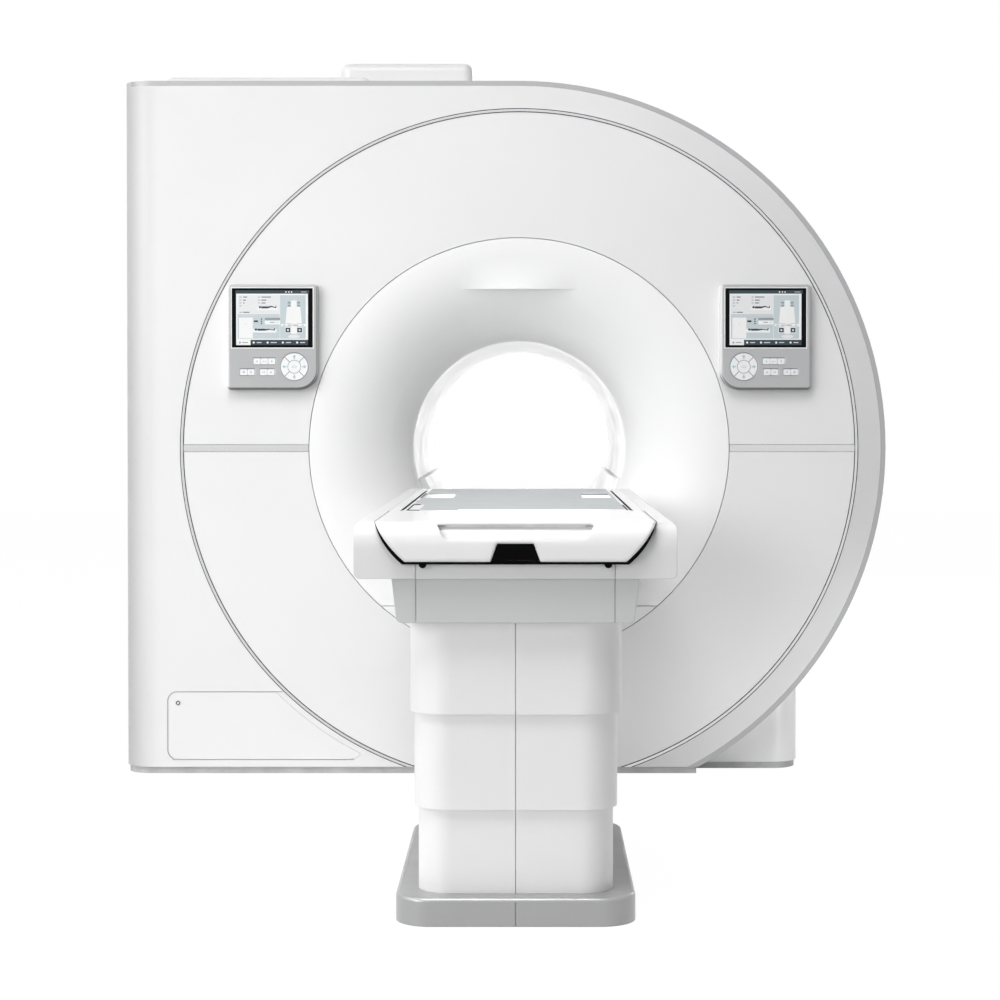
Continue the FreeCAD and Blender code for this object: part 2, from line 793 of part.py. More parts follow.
def bore_bridge():
    """The bed in the bore: flat top, raised side rails, and a tongue out towards the table."""
    radius = bore_radius - nest_gap
    edge = math.sqrt(radius ** 2 - (iso_height - rail_top) ** 2)
    outline = face(
        upright(lip_y),
        (-edge, rail_top),
        (-edge + rail_top_width, rail_top),
        (-rail_break_x, rail_break_z),
        (-rail_foot_x, bridge_floor),
        (rail_foot_x, bridge_floor),
        (rail_break_x, rail_break_z),
        (edge - rail_top_width, rail_top),
        (edge, rail_top),
        ((0, iso_height - radius), (-edge, rail_top)),
    )
    tongue = box(-bridge_tongue_half, bridge_tongue_half, front_y + bridge_end_gap, lip_y + BEYOND,
                 bridge_floor - bridge_tongue_depth, bridge_floor)
    return tidy(along_y(outline, lip_y, -lip_y).fuse(tongue))


# ---------------------------------------------------------------- service hatch
def hatch_block(y0, y1, gap):
    """The hatch's room: a rounded rectangle that the ring cuts off on the right."""
    outline = rounded_rectangle(upright(y0), hatch_left + gap, hatch_right - gap, hatch_foot + gap,
                                hatch_top - gap, (hatch_radius - gap,) * 4)
    ring_side = bore_cylinder(ring_hole + hatch_ring_margin + gap, y0 - BEYOND, y1 + BEYOND)
    return along_y(outline, y0, y1).cut(ring_side)


def hatch_barrel(radius, margin):
    """The hinge barrel's room along the straight part of the hatch's foot."""
    left = hatch_left + hatch_radius + margin
    ring_side = foot_x(ring_hole + hatch_ring_margin, hatch_axis_z)
    right = min(hatch_right - hatch_radius, -ring_side) - margin
    return rod_x(radius, front_y, hatch_axis_z, left, right)


def access_panel():
    """The hatch, with its hinge barrel along the lower edge and the lock's bore."""
    panel = hatch_block(front_y, front_y + hatch_thickness, hatch_gap)
    panel = panel.fuse(hatch_barrel(hatch_barrel_radius, hatch_barrel_margin))
    bore = rod_y(lock_radius + pin_clearance, lock_x, lock_z, front_y - BEYOND, frame_back)
    return tidy(panel.cut(bore))


def access_lock():
    """Quarter-turn lock, shown open: its cam hangs down inside the hatch's outline."""
    cam_front = front_y + cover_wall + nest_gap
    cam_back = cam_front + lock_cam_thickness
    head_front = front_y - lock_head_height
    lock = rod_y(lock_radius, lock_x, lock_z, head_front, cam_back)
    lock = lock.fuse(rod_y(lock_head_radius, lock_x, lock_z, head_front, front_y))
    half = lock_cam_width / 2
    lock = lock.fuse(box(lock_x - half, lock_x + half, cam_front, cam_back, lock_z - lock_cam_length, lock_z))
    slot_half = lock_slot_width / 2
    key_slot = box(lock_x - half, lock_x + half, head_front, head_front + lock_slot_depth,
                   lock_z - slot_half, lock_z + slot_half)
    return tidy(lock.cut(key_slot))


# ---------------------------------------------------------------- consoles, drawn for the left one
def console_outline(y, inset):
    """The big radius is at the lower corner towards the bore."""
    small = console_corner_radius - inset
    return rounded_rectangle(
        upright(y),
        -console_offset - console_width / 2 + inset,
        -console_offset + console_width / 2 - inset,
        console_height - console_tall / 2 + inset,
        console_height + console_tall / 2 - inset,
        (small, console_big_radius - inset, small, small),
    )


def bezel_box():
    x = -console_offset
    z = console_height + bezel_rise
    return box(x - bezel_width / 2, x + bezel_width / 2, console_face, console_face + bezel_depth,
               z - bezel_tall / 2, z + bezel_tall / 2)


def key_groups():
    """Each row of touching keys: x of the first key's middle, z, and how many."""
    groups = []
    for starts, drop, count in zip(key_row_starts, key_row_drops, key_row_counts):
        for start in starts:
            groups.append((start - console_offset, console_height - drop, count))
    return groups


def console_housing():
    base = along_y(console_outline(front_y - console_base_depth, 0), front_y - console_base_depth, front_y)
    raised = along_y(console_outline(console_face, console_step), console_face, front_y)
    housing = base.fuse(raised).cut(bezel_box())
    well_floor = console_face - key_proud + key_thickness + key_travel + key_gap
    for x, z, count in key_groups():
        left = x - key_width / 2 - key_gap
        right = x + (count - 1) * key_pitch + key_width / 2 + key_gap
        housing = housing.cut(box(left, right, console_face - BEYOND, well_floor,
                                  z - key_tall / 2 - key_gap, z + key_tall / 2 + key_gap))
    wheel = rod_y(wheel_radius + key_gap, -console_offset + wheel_offset, console_height - wheel_drop,
                  console_face - BEYOND, well_floor)
    return tidy(housing.cut(wheel))


def console_key(x, z):
    front = console_face - key_proud
    outline = rounded_rectangle(upright(front), x - key_width / 2, x + key_width / 2,
                                z - key_tall / 2, z + key_tall / 2, (key_corner,) * 4)
    return tidy(along_y(outline, front, front + key_thickness))


def wheel_ring():
    """The four-way key: one ring with its quarters marked by grooves."""
    x = -console_offset + wheel_offset
    z = console_height - wheel_drop
    front = console_face - key_proud
    back = front + key_thickness
    ring = rod_y(wheel_radius, x, z, front, back)
    ring = ring.cut(rod_y(wheel_key_radius + 2 * key_gap, x, z, front - BEYOND, back + BEYOND))
    for degrees in (45, 135):
        groove = box(-FAR / 2, FAR / 2, front, front + wheel_groove / 2, -wheel_groove / 2, wheel_groove / 2)
        groove.rotate(Vector(0, 0, 0), Vector(0, 1, 0), degrees)
        groove.translate(Vector(x, 0, z))
        ring = ring.cut(groove)
    return tidy(ring)


def wheel_centre():
    front = console_face - key_proud
    return tidy(rod_y(wheel_key_radius, -console_offset + wheel_offset, console_height - wheel_drop,
                      front, front + key_thickness))


def console_parts():
    """Every key of both consoles, by name."""
    keys = {}
    number = 1
    for x, z, count in key_groups():
        for place in range(count):
            keys["key_%d" % number] = console_key(x + place * key_pitch, z)
            number = number + 1
    keys["wheel"] = wheel_ring()
    keys["wheel_centre"] = wheel_centre()
    named = {}
    for name, shape in keys.items():
        named["left_" + name] = shape
        named["right_" + name] = mirrored(shape, Vector(1, 0, 0))
    return named


def pair(shape):
    """A piece and its mirror image on the other side, as two solids."""
    return Part.makeCompound([shape, mirrored(shape, Vector(1, 0, 0))])


# ---------------------------------------------------------------- table: foot, column and lift
def front_seam(x, front, z0, z1):
    """A shallow upright groove in a front face."""
    half = front_seam_width / 2
    return box(x - half, x + half, front - BEYOND, front + front_seam_depth, z0 - BEYOND, z1)


def table_base():
    base = rounded_block(base_half_width, base_front, base_back, base_radius, 0, base_height)
    top = [edge for edge in base.Edges if edge.BoundBox.ZMin > base_height / 2]
    base = base.makeFillet(base_top_round, top)
    return tidy(base.cut(front_seam(0, base_front, 0, base_height - base_top_round)))


def floor_cable_duct():
    """A low ramp over the cables from the table's foot to the gantry."""
    outline = face(
        upright(base_back),
        (-floor_duct_half, 0),
        (floor_duct_half, 0),
        (floor_duct_half - floor_duct_slope, floor_duct_height),
        (-floor_duct_half + floor_duct_slope, floor_duct_height),
    )
    return tidy(along_y(outline, base_back, front_y + plinth_inset))


def column_block(inset, z0, z1):
    return rounded_block(column_half_width - inset, column_centre_y - column_half_length + inset,
                         column_centre_y + column_half_length - inset, column_radius - inset, z0, z1)


def column_cover(stage, z0, z1):
    """A telescopic cover in two halves. Stage 0 is the top one, outside the rest."""
    inset = stage * stage_step
    wall = stage_step - stage_gap
    cover = column_block(inset, z0, z1).cut(column_block(inset + wall, z0, z1))
    half = cover.common(box(stage_seam / 2, FAR, -FAR, 0, 0, FAR))
    return pair(tidy(half))


def post(stage, z0, z1):
    """A square tube of the telescopic lift. Stage 0 is the fixed one, outside the rest."""
    half = lift_post_half - stage * (lift_post_wall + nest_gap)
    inner = half - lift_post_wall
    y = column_centre_y
    tube = box(-half, half, y - half, y + half, z0, z1)
    return tube.cut(box(-inner, inner, y - inner, y + inner, z0, z1))


def lift_column():
    return tidy(post(0, base_height, lower_top))


def lift_middle():
    """The middle tube and the plate that carries the middle cover."""
    tube = post(1, base_height + lift_travel / 2 + lift_end_gap, middle_top)
    inset = 2 * stage_step
    plate = column_block(inset, middle_top - carrier_plate, middle_top)
    inner = lift_post_half - 2 * lift_post_wall - nest_gap
    y = column_centre_y
    plate = plate.cut(box(-inner, inner, y - inner, y + inner, 0, FAR))
    return tidy(tube.fuse(plate))


def lift_ram():
    return tidy(post(2, base_height + lift_travel + lift_end_gap, tray_foot))


def table_tray():
    """The drive housing under the table's body."""
    outline = widening_section(upright(tray_front), tray_half_foot, tray_half_top, tray_foot, body_foot,
                               tray_radius)
    tray = along_y(outline, tray_front, tray_front + tray_length)
    return tidy(tray.cut(pair(front_seam(front_seam_offset, tray_front, tray_foot, body_foot))))


# ---------------------------------------------------------------- table: body, nose and tabletop
def nose_back():
    return tabletop_front - tabletop_front_gap


def nose_prism(grow, y0, y1):
    """The nose's cross-section run along the table. Grown by the seal it is the body's pocket."""
    half_top = channel_half_width - seal_tip_width * (1 - grow / seal_width)
    half_foot = nose_half_foot + grow
    foot = nose_foot - grow
    side = ((half_top + half_foot) / 2 + nose_bulge + seal_swell * grow, (deck_height + foot) / 2)
    outline = face(
        upright(y0),
        (-half_foot, foot),
        (half_foot, foot),
        (side, (half_top, deck_height)),
        (-half_top, deck_height),
        ((-side[0], side[1]), (-half_foot, foot)),
    )
    return along_y(outline, y0, y1)


def side_prism(front, foot, drop, brow, back, half):
    """The table's side view run across it: an upright front that rounds over into the level top."""
    start = (front, deck_height - drop)
    outline = face(
        lengthwise(-half),
        (back, foot),
        (back, deck_height),
        (front + brow, deck_height),
        (bend(start, (0, 1), (front + brow, deck_height))[0], start),
        (front, foot),
    )
    return along_x(outline, -half, half)


def table_body():
    """The long moulded body: rounded shoulders, a channel for the tabletop and a pocket for the nose."""
    w = body_half_width
    r = body_foot_radius
    side_top = deck_height - body_shoulder_height
    shoulder = bend((w, side_top), (0, 1), (body_top_flat, deck_height))
    outline = face(
        upright(body_front),
        (-w + r, body_foot),
        (w - r, body_foot),
        (corner_arc(w - r, body_foot + r, r, -45), (w, body_foot + r)),
        (w, side_top),
        shoulder,
        (-body_top_flat, deck_height),
        ((-shoulder[0][0], shoulder[0][1]), (-w, side_top)),
        (-w, body_foot + r),
        (corner_arc(-w + r, body_foot + r, r, 225), (-w + r, body_foot)),
    )
    body = along_y(outline, body_front, far_end)
    body = body.common(side_prism(body_front, body_foot, body_front_drop, body_brow_length, far_end, w))
    body = body.cut(nose_prism(seal_width, body_front - BEYOND, nose_back()))
    channel = box(-channel_half_width, channel_half_width, nose_back(), far_end + BEYOND,
                  channel_floor, deck_height + BEYOND)
    seams = pair(front_seam(front_seam_offset, body_front, body_foot, nose_foot))
    return tidy(body.cut(channel).cut(seams))


def table_guides():
    """The two strips along the channel that guide the tabletop."""
    outer = channel_half_width - guide_gap
    return pair(box(guide_inner, outer, nose_back(), far_end, channel_floor, deck_height))


def nose_grip():
    """The room of the grip: a shallow trough with a finger slot under its upper lip."""
    front = nose_front - BEYOND
    outline = widening_section(upright(front), grip_half_foot, grip_half_top, grip_foot, grip_top,
                               grip_radius)
    trough = along_y(outline, front, nose_back())
    trough = trough.cut(side_prism(nose_front + grip_inset, nose_foot, nose_front_drop, nose_brow_length,
                                   nose_back() + BEYOND, body_half_width))
    slot = box(-grip_half_foot, grip_half_foot, front, nose_front + grip_slot_reach,
               grip_top - grip_slot_tall, grip_top)
    return trough.fuse(slot)


def table_nose():
    """The front piece with its grip trough and the recess of the release lever."""
    nose = nose_prism(0, nose_front, nose_back())
    nose = nose.common(side_prism(nose_front, nose_foot, nose_front_drop, nose_brow_length, nose_back(),
                                  body_half_width))
    nose = nose.cut(nose_grip())
    nose = nose.cut(latch_block(0, nose_foot, nose_front - BEYOND, nose_front + latch_depth))
    return tidy(nose.cut(lever_pin(lever_pin_radius + pin_clearance, lever_pin_reach + pin_end_gap)))


def latch_half(z):
    """Half the width of the release recess at a height."""
    return latch_half_foot + (latch_half_top - latch_half_foot) * (z - nose_foot) / latch_tall


def latch_block(gap, foot, y0, y1):
    """The release recess's tapered outline, drawn in by a gap at its sides and top."""
    top = latch_top - gap
    outline = face(
        upright(y0),
        (-latch_half(foot) + gap, foot),
        (latch_half(foot) - gap, foot),
        (latch_half(top) - gap, top),
        (-latch_half(top) + gap, top),
    )
    return along_y(outline, y0, y1)


def lever_axis():
    """The release lever's hinge line: y and z."""
    y = nose_front + lever_setback + lever_thickness / 2
    return y, latch_top - lever_pin_drop


def lever_pin(radius, reach):
    y, z = lever_axis()
    half = latch_half(z) + reach
    return rod_x(radius, y, z, -half, half)


def release_lever():
    """The pull flap that fills the recess of the nose, with its pin."""
    front = nose_front + lever_setback
    flap = latch_block(lever_side_gap, lever_foot, front, front + lever_thickness)
    return tidy(flap.fuse(lever_pin(lever_pin_radius, lever_pin_reach)))


def nose_seal():
    """The black seal between the nose and the body, with its two bumpers."""
    front = (nose_front + body_front) / 2
    seal = nose_prism(seal_width, front, nose_back()).cut(nose_prism(0, front - BEYOND, nose_back() + BEYOND))
    seal = seal.common(side_prism(front, nose_foot - seal_width, body_front_drop, body_brow_length,
                                  nose_back(), body_half_width))
    foot = nose_foot - seal_width
    for x in (-bumper_offset, bumper_offset):
        bumper = rod_y(bumper_radius, x, foot, front, body_front)
        seal = seal.fuse(bumper.common(box(-FAR, FAR, -FAR, 0, 0, foot + seal_width)))
    return tidy(seal)


def tabletop():
    """The sliding tabletop, with a shallow seat for its deck and runners underneath."""
    outline = face(
        upright(tabletop_front),
        (-tabletop_half_foot, tabletop_foot),
        (tabletop_half_foot, tabletop_foot),
        (tabletop_half_top, deck_height),
        (-tabletop_half_top, deck_height),
    )
    top = along_y(outline, tabletop_front, tabletop_back)
    for x in (-runner_offset, runner_offset):
        top = top.fuse(box(x - runner_width / 2, x + runner_width / 2, tabletop_front, tabletop_back,
                           channel_floor + runner_gap, tabletop_foot))
    return tidy(top.cut(deck_panel()))


def deck_panel():
    """The grey deck: two slots near the far end, a notch at the near left corner and a stepped near edge."""
    front = tabletop_front + deck_front_margin
    z0 = deck_height - deck_thickness
    deck = box(-deck_half_width, deck_half_width, front, tabletop_back, z0, deck_height)
    slot_back = tabletop_back - deck_slot_from_end
    outer = deck_half_width - deck_slot_inset
    slot = box(outer - deck_slot_width, outer, slot_back - deck_slot_length, slot_back, z0, deck_height)
    deck = deck.cut(slot).cut(mirrored(slot, Vector(1, 0, 0)))
    deck = deck.cut(box(deck_step_x, deck_half_width, front, front + deck_step_length, z0, deck_height))
    notch = box(-deck_half_width, -deck_half_width + deck_notch_width, front, front + deck_notch_length,
                z0, deck_height)
    return tidy(deck.cut(notch))


# ---------------------------------------------------------------- the whole machine
def pieces():
    named = {
        "base_plinth": base_plinth(),
        "magnet_vessel": magnet_vessel(),
        "gradient_coil": gradient_coil(),
        "body_coil": body_coil(),
        "bore_liner": bore_liner(),
        "bore_bridge": bore_bridge(),
        "cover_frames": cover_frames(),
        "front_cover": front_cover(),
        "edge_trim": edge_trim(),
        "ring_panel_upper": ring_panel_upper(),
        "ring_panel_lower": ring_panel_lower(),
        "ring_trim": ring_trim(),
        "funnel_upper": funnel_upper(),
        "funnel_lower": funnel_lower(),
        "left_side_cover": left_side_cover(),
        "right_side_cover": right_side_cover(),
        "rear_cover": rear_cover(),
        "rear_funnel": rear_funnel(),
        "turret_cover": turret_cover(),
        "top_duct_cover": top_duct_cover(),
        "cold_head": cold_head(),
        "console_housings": pair(console_housing()),
        "display_screens": pair(tidy(bezel_box())),
        "access_panel": access_panel(),
        "access_lock": access_lock(),
        "floor_cable_duct": floor_cable_duct(),
        "table_base": table_base(),
        "column_lower_cover": column_cover(2, base_height, lower_top),
        "lift_column": lift_column(),
        "column_middle_cover": column_cover(1, middle_foot, middle_top),
        "lift_middle": lift_middle(),
        "column_upper_cover": column_cover(0, upper_foot, tray_foot),
        "lift_ram": lift_ram(),
        "table_tray": table_tray(),
        "table_body": table_body(),
        "table_guides": table_guides(),
        "table_nose": table_nose(),
        "nose_seal": nose_seal(),
        "release_lever": release_lever(),
        "tabletop": tabletop(),
        "deck_panel": deck_panel(),
    }
    named.update(console_parts())
    return named


os.makedirs("parts", exist_ok=True)
for name, shape in pieces().items():
    shape.exportStep("parts/" + name + ".step")
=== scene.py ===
import json
import math

import bmesh
import bpy
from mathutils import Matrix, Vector

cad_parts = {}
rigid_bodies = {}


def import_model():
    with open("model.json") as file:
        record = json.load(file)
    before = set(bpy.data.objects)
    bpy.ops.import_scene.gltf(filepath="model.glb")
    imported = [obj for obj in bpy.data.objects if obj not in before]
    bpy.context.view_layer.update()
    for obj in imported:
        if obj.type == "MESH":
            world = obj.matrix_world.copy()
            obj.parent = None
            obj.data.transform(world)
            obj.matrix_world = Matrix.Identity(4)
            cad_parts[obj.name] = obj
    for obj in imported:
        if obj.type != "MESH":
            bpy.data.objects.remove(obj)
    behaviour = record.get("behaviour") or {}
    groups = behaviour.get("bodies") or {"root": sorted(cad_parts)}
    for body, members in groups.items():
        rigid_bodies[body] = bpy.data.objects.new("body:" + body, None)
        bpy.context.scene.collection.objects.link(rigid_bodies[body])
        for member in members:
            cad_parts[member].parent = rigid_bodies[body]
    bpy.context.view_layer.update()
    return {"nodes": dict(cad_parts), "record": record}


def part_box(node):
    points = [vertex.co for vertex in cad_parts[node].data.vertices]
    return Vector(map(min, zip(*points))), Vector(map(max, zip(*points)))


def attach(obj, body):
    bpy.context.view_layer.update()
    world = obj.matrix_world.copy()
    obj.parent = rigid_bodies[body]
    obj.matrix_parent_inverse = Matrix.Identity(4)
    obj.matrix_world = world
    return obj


# Looks of the scanner: finishes for every piece of the frame, the thin trims and marks, the soft skin over the
# brow, the screens' fields, and the room with its light and camera.
# Metres, or millimetres where a comment says so. X to the right as seen from the table end, Y into the bore,
# Z up.

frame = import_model()
scene = bpy.context.scene
NODES = frame["nodes"]
NODE_SLOT = {part["node"]: part["material_slot"] for part in frame["record"]["subparts"]}

BORE_HEIGHT = 0.970            # the bore's axis above the floor
FRONT_Y = -0.903               # the gantry's front face
RIM_START = 1.007              # radius outside the ring strip from which the arched rim slopes back
DECK_TOP = 0.850


# ---------------------------------------------------------------- node helpers
class Finish:
    """A node tree being built: adds nodes and links them by name."""

    SOCKETS = {"metallic": "Metallic", "coat": "Coat Weight", "coat_roughness": "Coat Roughness",
               "specular": "Specular IOR Level", "emission": "Emission Strength"}

    def __init__(self, name):
        self.material = bpy.data.materials.new(name)
        self.material.use_nodes = True
        self.tree = self.material.node_tree
        self.shader = self.tree.nodes["Principled BSDF"]
        self.place = self.add("ShaderNodeTexCoord").outputs["Object"]

    def add(self, kind, **settings):
        node = self.tree.nodes.new(kind)
        for key, value in settings.items():
            setattr(node, key, value)
        return node

    def link(self, out, socket):
        self.tree.links.new(out, socket)

    def stretched(self, scale):
        """The object's coordinates, scaled apart along each axis."""
        mapping = self.add("ShaderNodeMapping")
        mapping.inputs["Scale"].default_value = scale
        self.link(self.place, mapping.inputs["Vector"])
        return mapping.outputs["Vector"]

    def noise(self, scale, detail=2.0, where=None):
        node = self.add("ShaderNodeTexNoise")
        node.inputs["Scale"].default_value = scale
        node.inputs["Detail"].default_value = detail
        self.link(where or self.place, node.inputs["Vector"])
        return node.outputs["Fac"]

    def ramp(self, value, low, high, start=0.3, stop=0.7):
        """Turns a 0 to 1 value into a colour between two."""
        node = self.add("ShaderNodeValToRGB")
        node.color_ramp.elements[0].position = start
        node.color_ramp.elements[1].position = stop
        node.color_ramp.elements[0].color = (*low, 1)
        node.color_ramp.elements[1].color = (*high, 1)
        self.link(value, node.inputs["Fac"])
        return node.outputs["Color"]

    def remap(self, value, start, stop, low=0.0, high=1.0, **settings):
        """Maps a value between two limits onto a range."""
        node = self.add("ShaderNodeMapRange", **settings)
        node.inputs["From Min"].default_value = start
        node.inputs["From Max"].default_value = stop
        node.inputs["To Min"].default_value = low
        node.inputs["To Max"].default_value = high
        self.link(value, node.inputs["Value"])
        return node.outputs["Result"]

    def spread(self, value, low, high):
        """Maps a noise, which lies mostly between 0.3 and 0.7, onto a range."""
        return self.remap(value, 0.3, 0.7, low, high)

    def part(self, vector, axis):
        """One axis of a vector."""
        node = self.add("ShaderNodeSeparateXYZ")
        self.link(vector, node.inputs["Vector"])
        return node.outputs[axis]

    def times(self, one, other):
        """One colour multiplied by another."""
        node = self.add("ShaderNodeMix", data_type="RGBA", blend_type="MULTIPLY")
        node.inputs["Factor"].default_value = 1.0
        self.link(one, node.inputs["A"])
        self.link(other, node.inputs["B"])
        return node.outputs["Result"]

    def rounded(self, radius):
        """Normals that turn over an edge as if it were rounded."""
        node = self.add("ShaderNodeBevel", samples=4)
        node.inputs["Radius"].default_value = radius
        return node.outputs["Normal"]

    def bump(self, height, strength, distance, below=None):
        node = self.add("ShaderNodeBump")
        node.inputs["Strength"].default_value = strength
        node.inputs["Distance"].default_value = distance
        self.link(height, node.inputs["Height"])
        if below:
            self.link(below, node.inputs["Normal"])
        return node.outputs["Normal"]

    def colour(self, out):
        self.link(out, self.shader.inputs["Base Color"])

    def roughness(self, out):
        self.link(out, self.shader.inputs["Roughness"])

    def normal(self, out):
        self.link(out, self.shader.inputs["Normal"])

    def set(self, **values):
        for key, value in values.items():
            self.shader.inputs[self.SOCKETS[key]].default_value = value


def tinted(colour, share):
    return tuple(min(1.0, c * share) for c in colour)


def paint_drift(finish, colour):
    return finish.ramp(finish.noise(2.3, 3.0), tinted(colour, 0.985), tinted(colour, 1.01))


def wiped_gloss(finish):
    return finish.noise(7.0, 5.0, finish.stretched((1.0, 1.0, 2.5)))


def orange_peel(finish, below):
    return finish.bump(finish.noise(700.0, 1.0), 0.05, 0.00005, below)


def moulded(name, colour, rough, coat, edge, specular=0.5):
    """Painted moulded plastic: slow tint drift, fine orange peel, faint handling marks in the gloss."""
    finish = Finish(name)
    finish.colour(paint_drift(finish, colour))
    finish.roughness(finish.spread(wiped_gloss(finish), rough * 0.85, rough * 1.2))
    coarse = finish.bump(finish.noise(90.0, 2.0), 0.08, 0.0004, finish.rounded(edge))
    finish.normal(orange_peel(finish, coarse))
    finish.set(coat=coat, coat_roughness=0.12, specular=specular)
    return finish.material


def brushed(name, colour, rough, grain):
    """Satin metal with fine lines, each set as long and wide as the grain's scales say."""
    finish = Finish(name)
    lines = finish.noise(1.0, 3.0, finish.stretched(grain))
    finish.colour(finish.ramp(lines, tinted(colour, 0.96), tinted(colour, 1.04)))
    finish.roughness(finish.spread(lines, rough * 0.85, rough * 1.2))
    finish.normal(finish.bump(lines, 0.10, 0.00005))
    finish.set(metallic=1.0)
    return finish.material


def silver_paint(name, colour, rough, edge, metallic, painted_light=None):
    """Metallic paint: bright flakes in a grey coat under clear lacquer. Its last argument, if given, paints
    light and shade into the colour.
    """
    finish = Finish(name)
    flakes = finish.add("ShaderNodeTexVoronoi", feature="F1")
    flakes.inputs["Scale"].default_value = 1400.0
    finish.link(finish.place, flakes.inputs["Vector"])
    tone = finish.ramp(flakes.outputs["Distance"], tinted(colour, 1.06), tinted(colour, 0.94), 0.1, 0.6)
    finish.colour(painted_light(finish, tone) if painted_light else tone)
    finish.roughness(finish.spread(finish.noise(11.0, 4.0), rough * 0.85, rough * 1.2))
    finish.normal(finish.bump(finish.noise(160.0, 2.0), 0.05, 0.0003, finish.rounded(edge)))
    finish.set(metallic=metallic, coat=0.35, coat_roughness=0.1)
    return finish.material


# the rounded edges where light and shade are painted into the console's colour, a painted highlight on the left
# and painted shade underneath: radius, axis of the normal, colour
CONSOLE_EDGE_LIGHT_AND_SHADE = ((0.009, "X", (0.80, 0.80, 0.80)), (0.006, "Z", (0.015, 0.018, 0.02)))


def painted_console_edge_light_and_shade(finish, tone):
    """Paints a highlight along the consoles' left edges and shade along their lower edges."""
    for radius, axis, tint in CONSOLE_EDGE_LIGHT_AND_SHADE:
        mix = finish.add("ShaderNodeMix", data_type="RGBA")
        mix.inputs["B"].default_value = (*tint, 1)
        finish.link(finish.remap(finish.part(finish.rounded(radius), axis), -0.12, -0.45), mix.inputs["Factor"])
        finish.link(tone, mix.inputs["A"])
        tone = mix.outputs["Result"]
    return tone


def grained(name, colour, rough, scale, depth, specular=0.5):
    """Textured plastic or rubber with a leathery grain."""
    finish = Finish(name)
    grain = finish.noise(scale, 4.0)
    finish.colour(finish.ramp(finish.noise(18.0, 3.0), tinted(colour, 0.88), tinted(colour, 1.12)))
    finish.roughness(finish.spread(grain, rough * 0.85, rough * 1.15))
    finish.normal(finish.bump(grain, 0.35, depth))
    finish.set(specular=specular)
    return finish.material


def laminate(name, colour, rough):
    """Pressed laminate: fine flecks, and a faint drift of tone along its length."""
    finish = Finish(name)
    flecks = finish.noise(900.0, 2.0)
    drift = finish.noise(1.0, 2.0, finish.stretched((1.2, 9.0, 1.0)))
    finish.colour(finish.times(finish.ramp(flecks, tinted(colour, 0.95), tinted(colour, 1.05)),
                               finish.ramp(drift, (0.93, 0.93, 0.93), (1.0, 1.0, 1.0))))
    finish.roughness(finish.spread(finish.noise(14.0, 4.0), rough * 0.9, rough * 1.1))
    finish.normal(finish.bump(flecks, 0.15, 0.0001))
    finish.set(specular=0.2)
    return finish.material


def glass(name, colour):
    """Dark display glass: a smooth pane with the odd smear."""
    finish = Finish(name)
    smear = finish.noise(26.0, 5.0, finish.stretched((1.0, 1.0, 1.8)))
    finish.colour(finish.ramp(smear, tinted(colour, 0.9), tinted(colour, 1.15)))
    finish.roughness(finish.spread(smear, 0.10, 0.16))
    finish.set(specular=0.06)
    return finish.material


def lit(name, colour):
    """A field of a lit display: fine pixel rows under a matt film."""
    finish = Finish(name)
    rows = finish.add("ShaderNodeTexWave", bands_direction="Z")
    rows.inputs["Scale"].default_value = 1200.0
    finish.link(finish.place, rows.inputs["Vector"])
    shade = finish.ramp(rows.outputs["Fac"], tinted(colour, 0.66), tinted(colour, 0.70), 0.0, 1.0)
    finish.colour(shade)
    finish.link(shade, finish.shader.inputs["Emission Color"])
    finish.roughness(finish.spread(finish.noise(60.0, 2.0), 0.40, 0.50))
    finish.set(emission=0.42, specular=0.2)
    return finish.material


def printed(name, colour):
    """Ink on a key or label, a little uneven; also used for painted shade in seams and grooves."""
    finish = Finish(name)
    finish.colour(finish.ramp(finish.noise(400.0, 3.0), tinted(colour, 0.92), tinted(colour, 1.06)))
    finish.roughness(finish.spread(finish.noise(120.0, 2.0), 0.45, 0.6))
    return finish.material


MATERIALS = {
    "cover_white": moulded("cover_white", (0.80, 0.80, 0.80), 0.34, 0.25, 0.0015),
    "funnel_white": moulded("funnel_white", (0.90, 0.90, 0.90), 0.42, 0.06, 0.0015, 0.25),
    "bore_white": moulded("bore_white", (0.88, 0.88, 0.88), 0.42, 0.10, 0.0015),
    "table_white": moulded("table_white", (0.82, 0.82, 0.82), 0.32, 0.30, 0.003),
    "column_white": moulded("column_white", (0.82, 0.82, 0.82), 0.36, 0.20, 0.002),
    "key_white": moulded("key_white", (0.84, 0.85, 0.86), 0.30, 0.30, 0.0006),
    "base_silver": silver_paint("base_silver", (0.38, 0.38, 0.385), 0.34, 0.004, 0.45),
    "console_silver": silver_paint("console_silver", (0.45, 0.455, 0.46), 0.36, 0.004, 0.5, painted_console_edge_light_and_shade),
    "trim_silver": brushed("trim_silver", (0.80, 0.80, 0.81), 0.22, (300.0, 300.0, 2500.0)),
    "frame_aluminium": brushed("frame_aluminium", (0.62, 0.63, 0.65), 0.42, (30.0, 900.0, 900.0)),
    "vessel_steel": brushed("vessel_steel", (0.50, 0.51, 0.53), 0.45, (900.0, 30.0, 900.0)),
    "post_steel": brushed("post_steel", (0.58, 0.59, 0.61), 0.30, (900.0, 900.0, 20.0)),
    "screen_glass": glass("screen_glass", (0.004, 0.0045, 0.005)),
    "deck_grey": laminate("deck_grey", (0.45, 0.47, 0.475), 0.55),
    "black_rubber": grained("black_rubber", (0.004, 0.004, 0.004), 0.70, 900.0, 0.0002, 0.03),
    "black_plastic": grained("black_plastic", (0.002, 0.002, 0.002), 0.55, 700.0, 0.0001, 0.03),
    "dark_plinth": grained("dark_plinth", (0.045, 0.045, 0.048), 0.60, 420.0, 0.0002),
    "coil_resin": grained("coil_resin", (0.42, 0.27, 0.10), 0.40, 60.0, 0.0008),
}
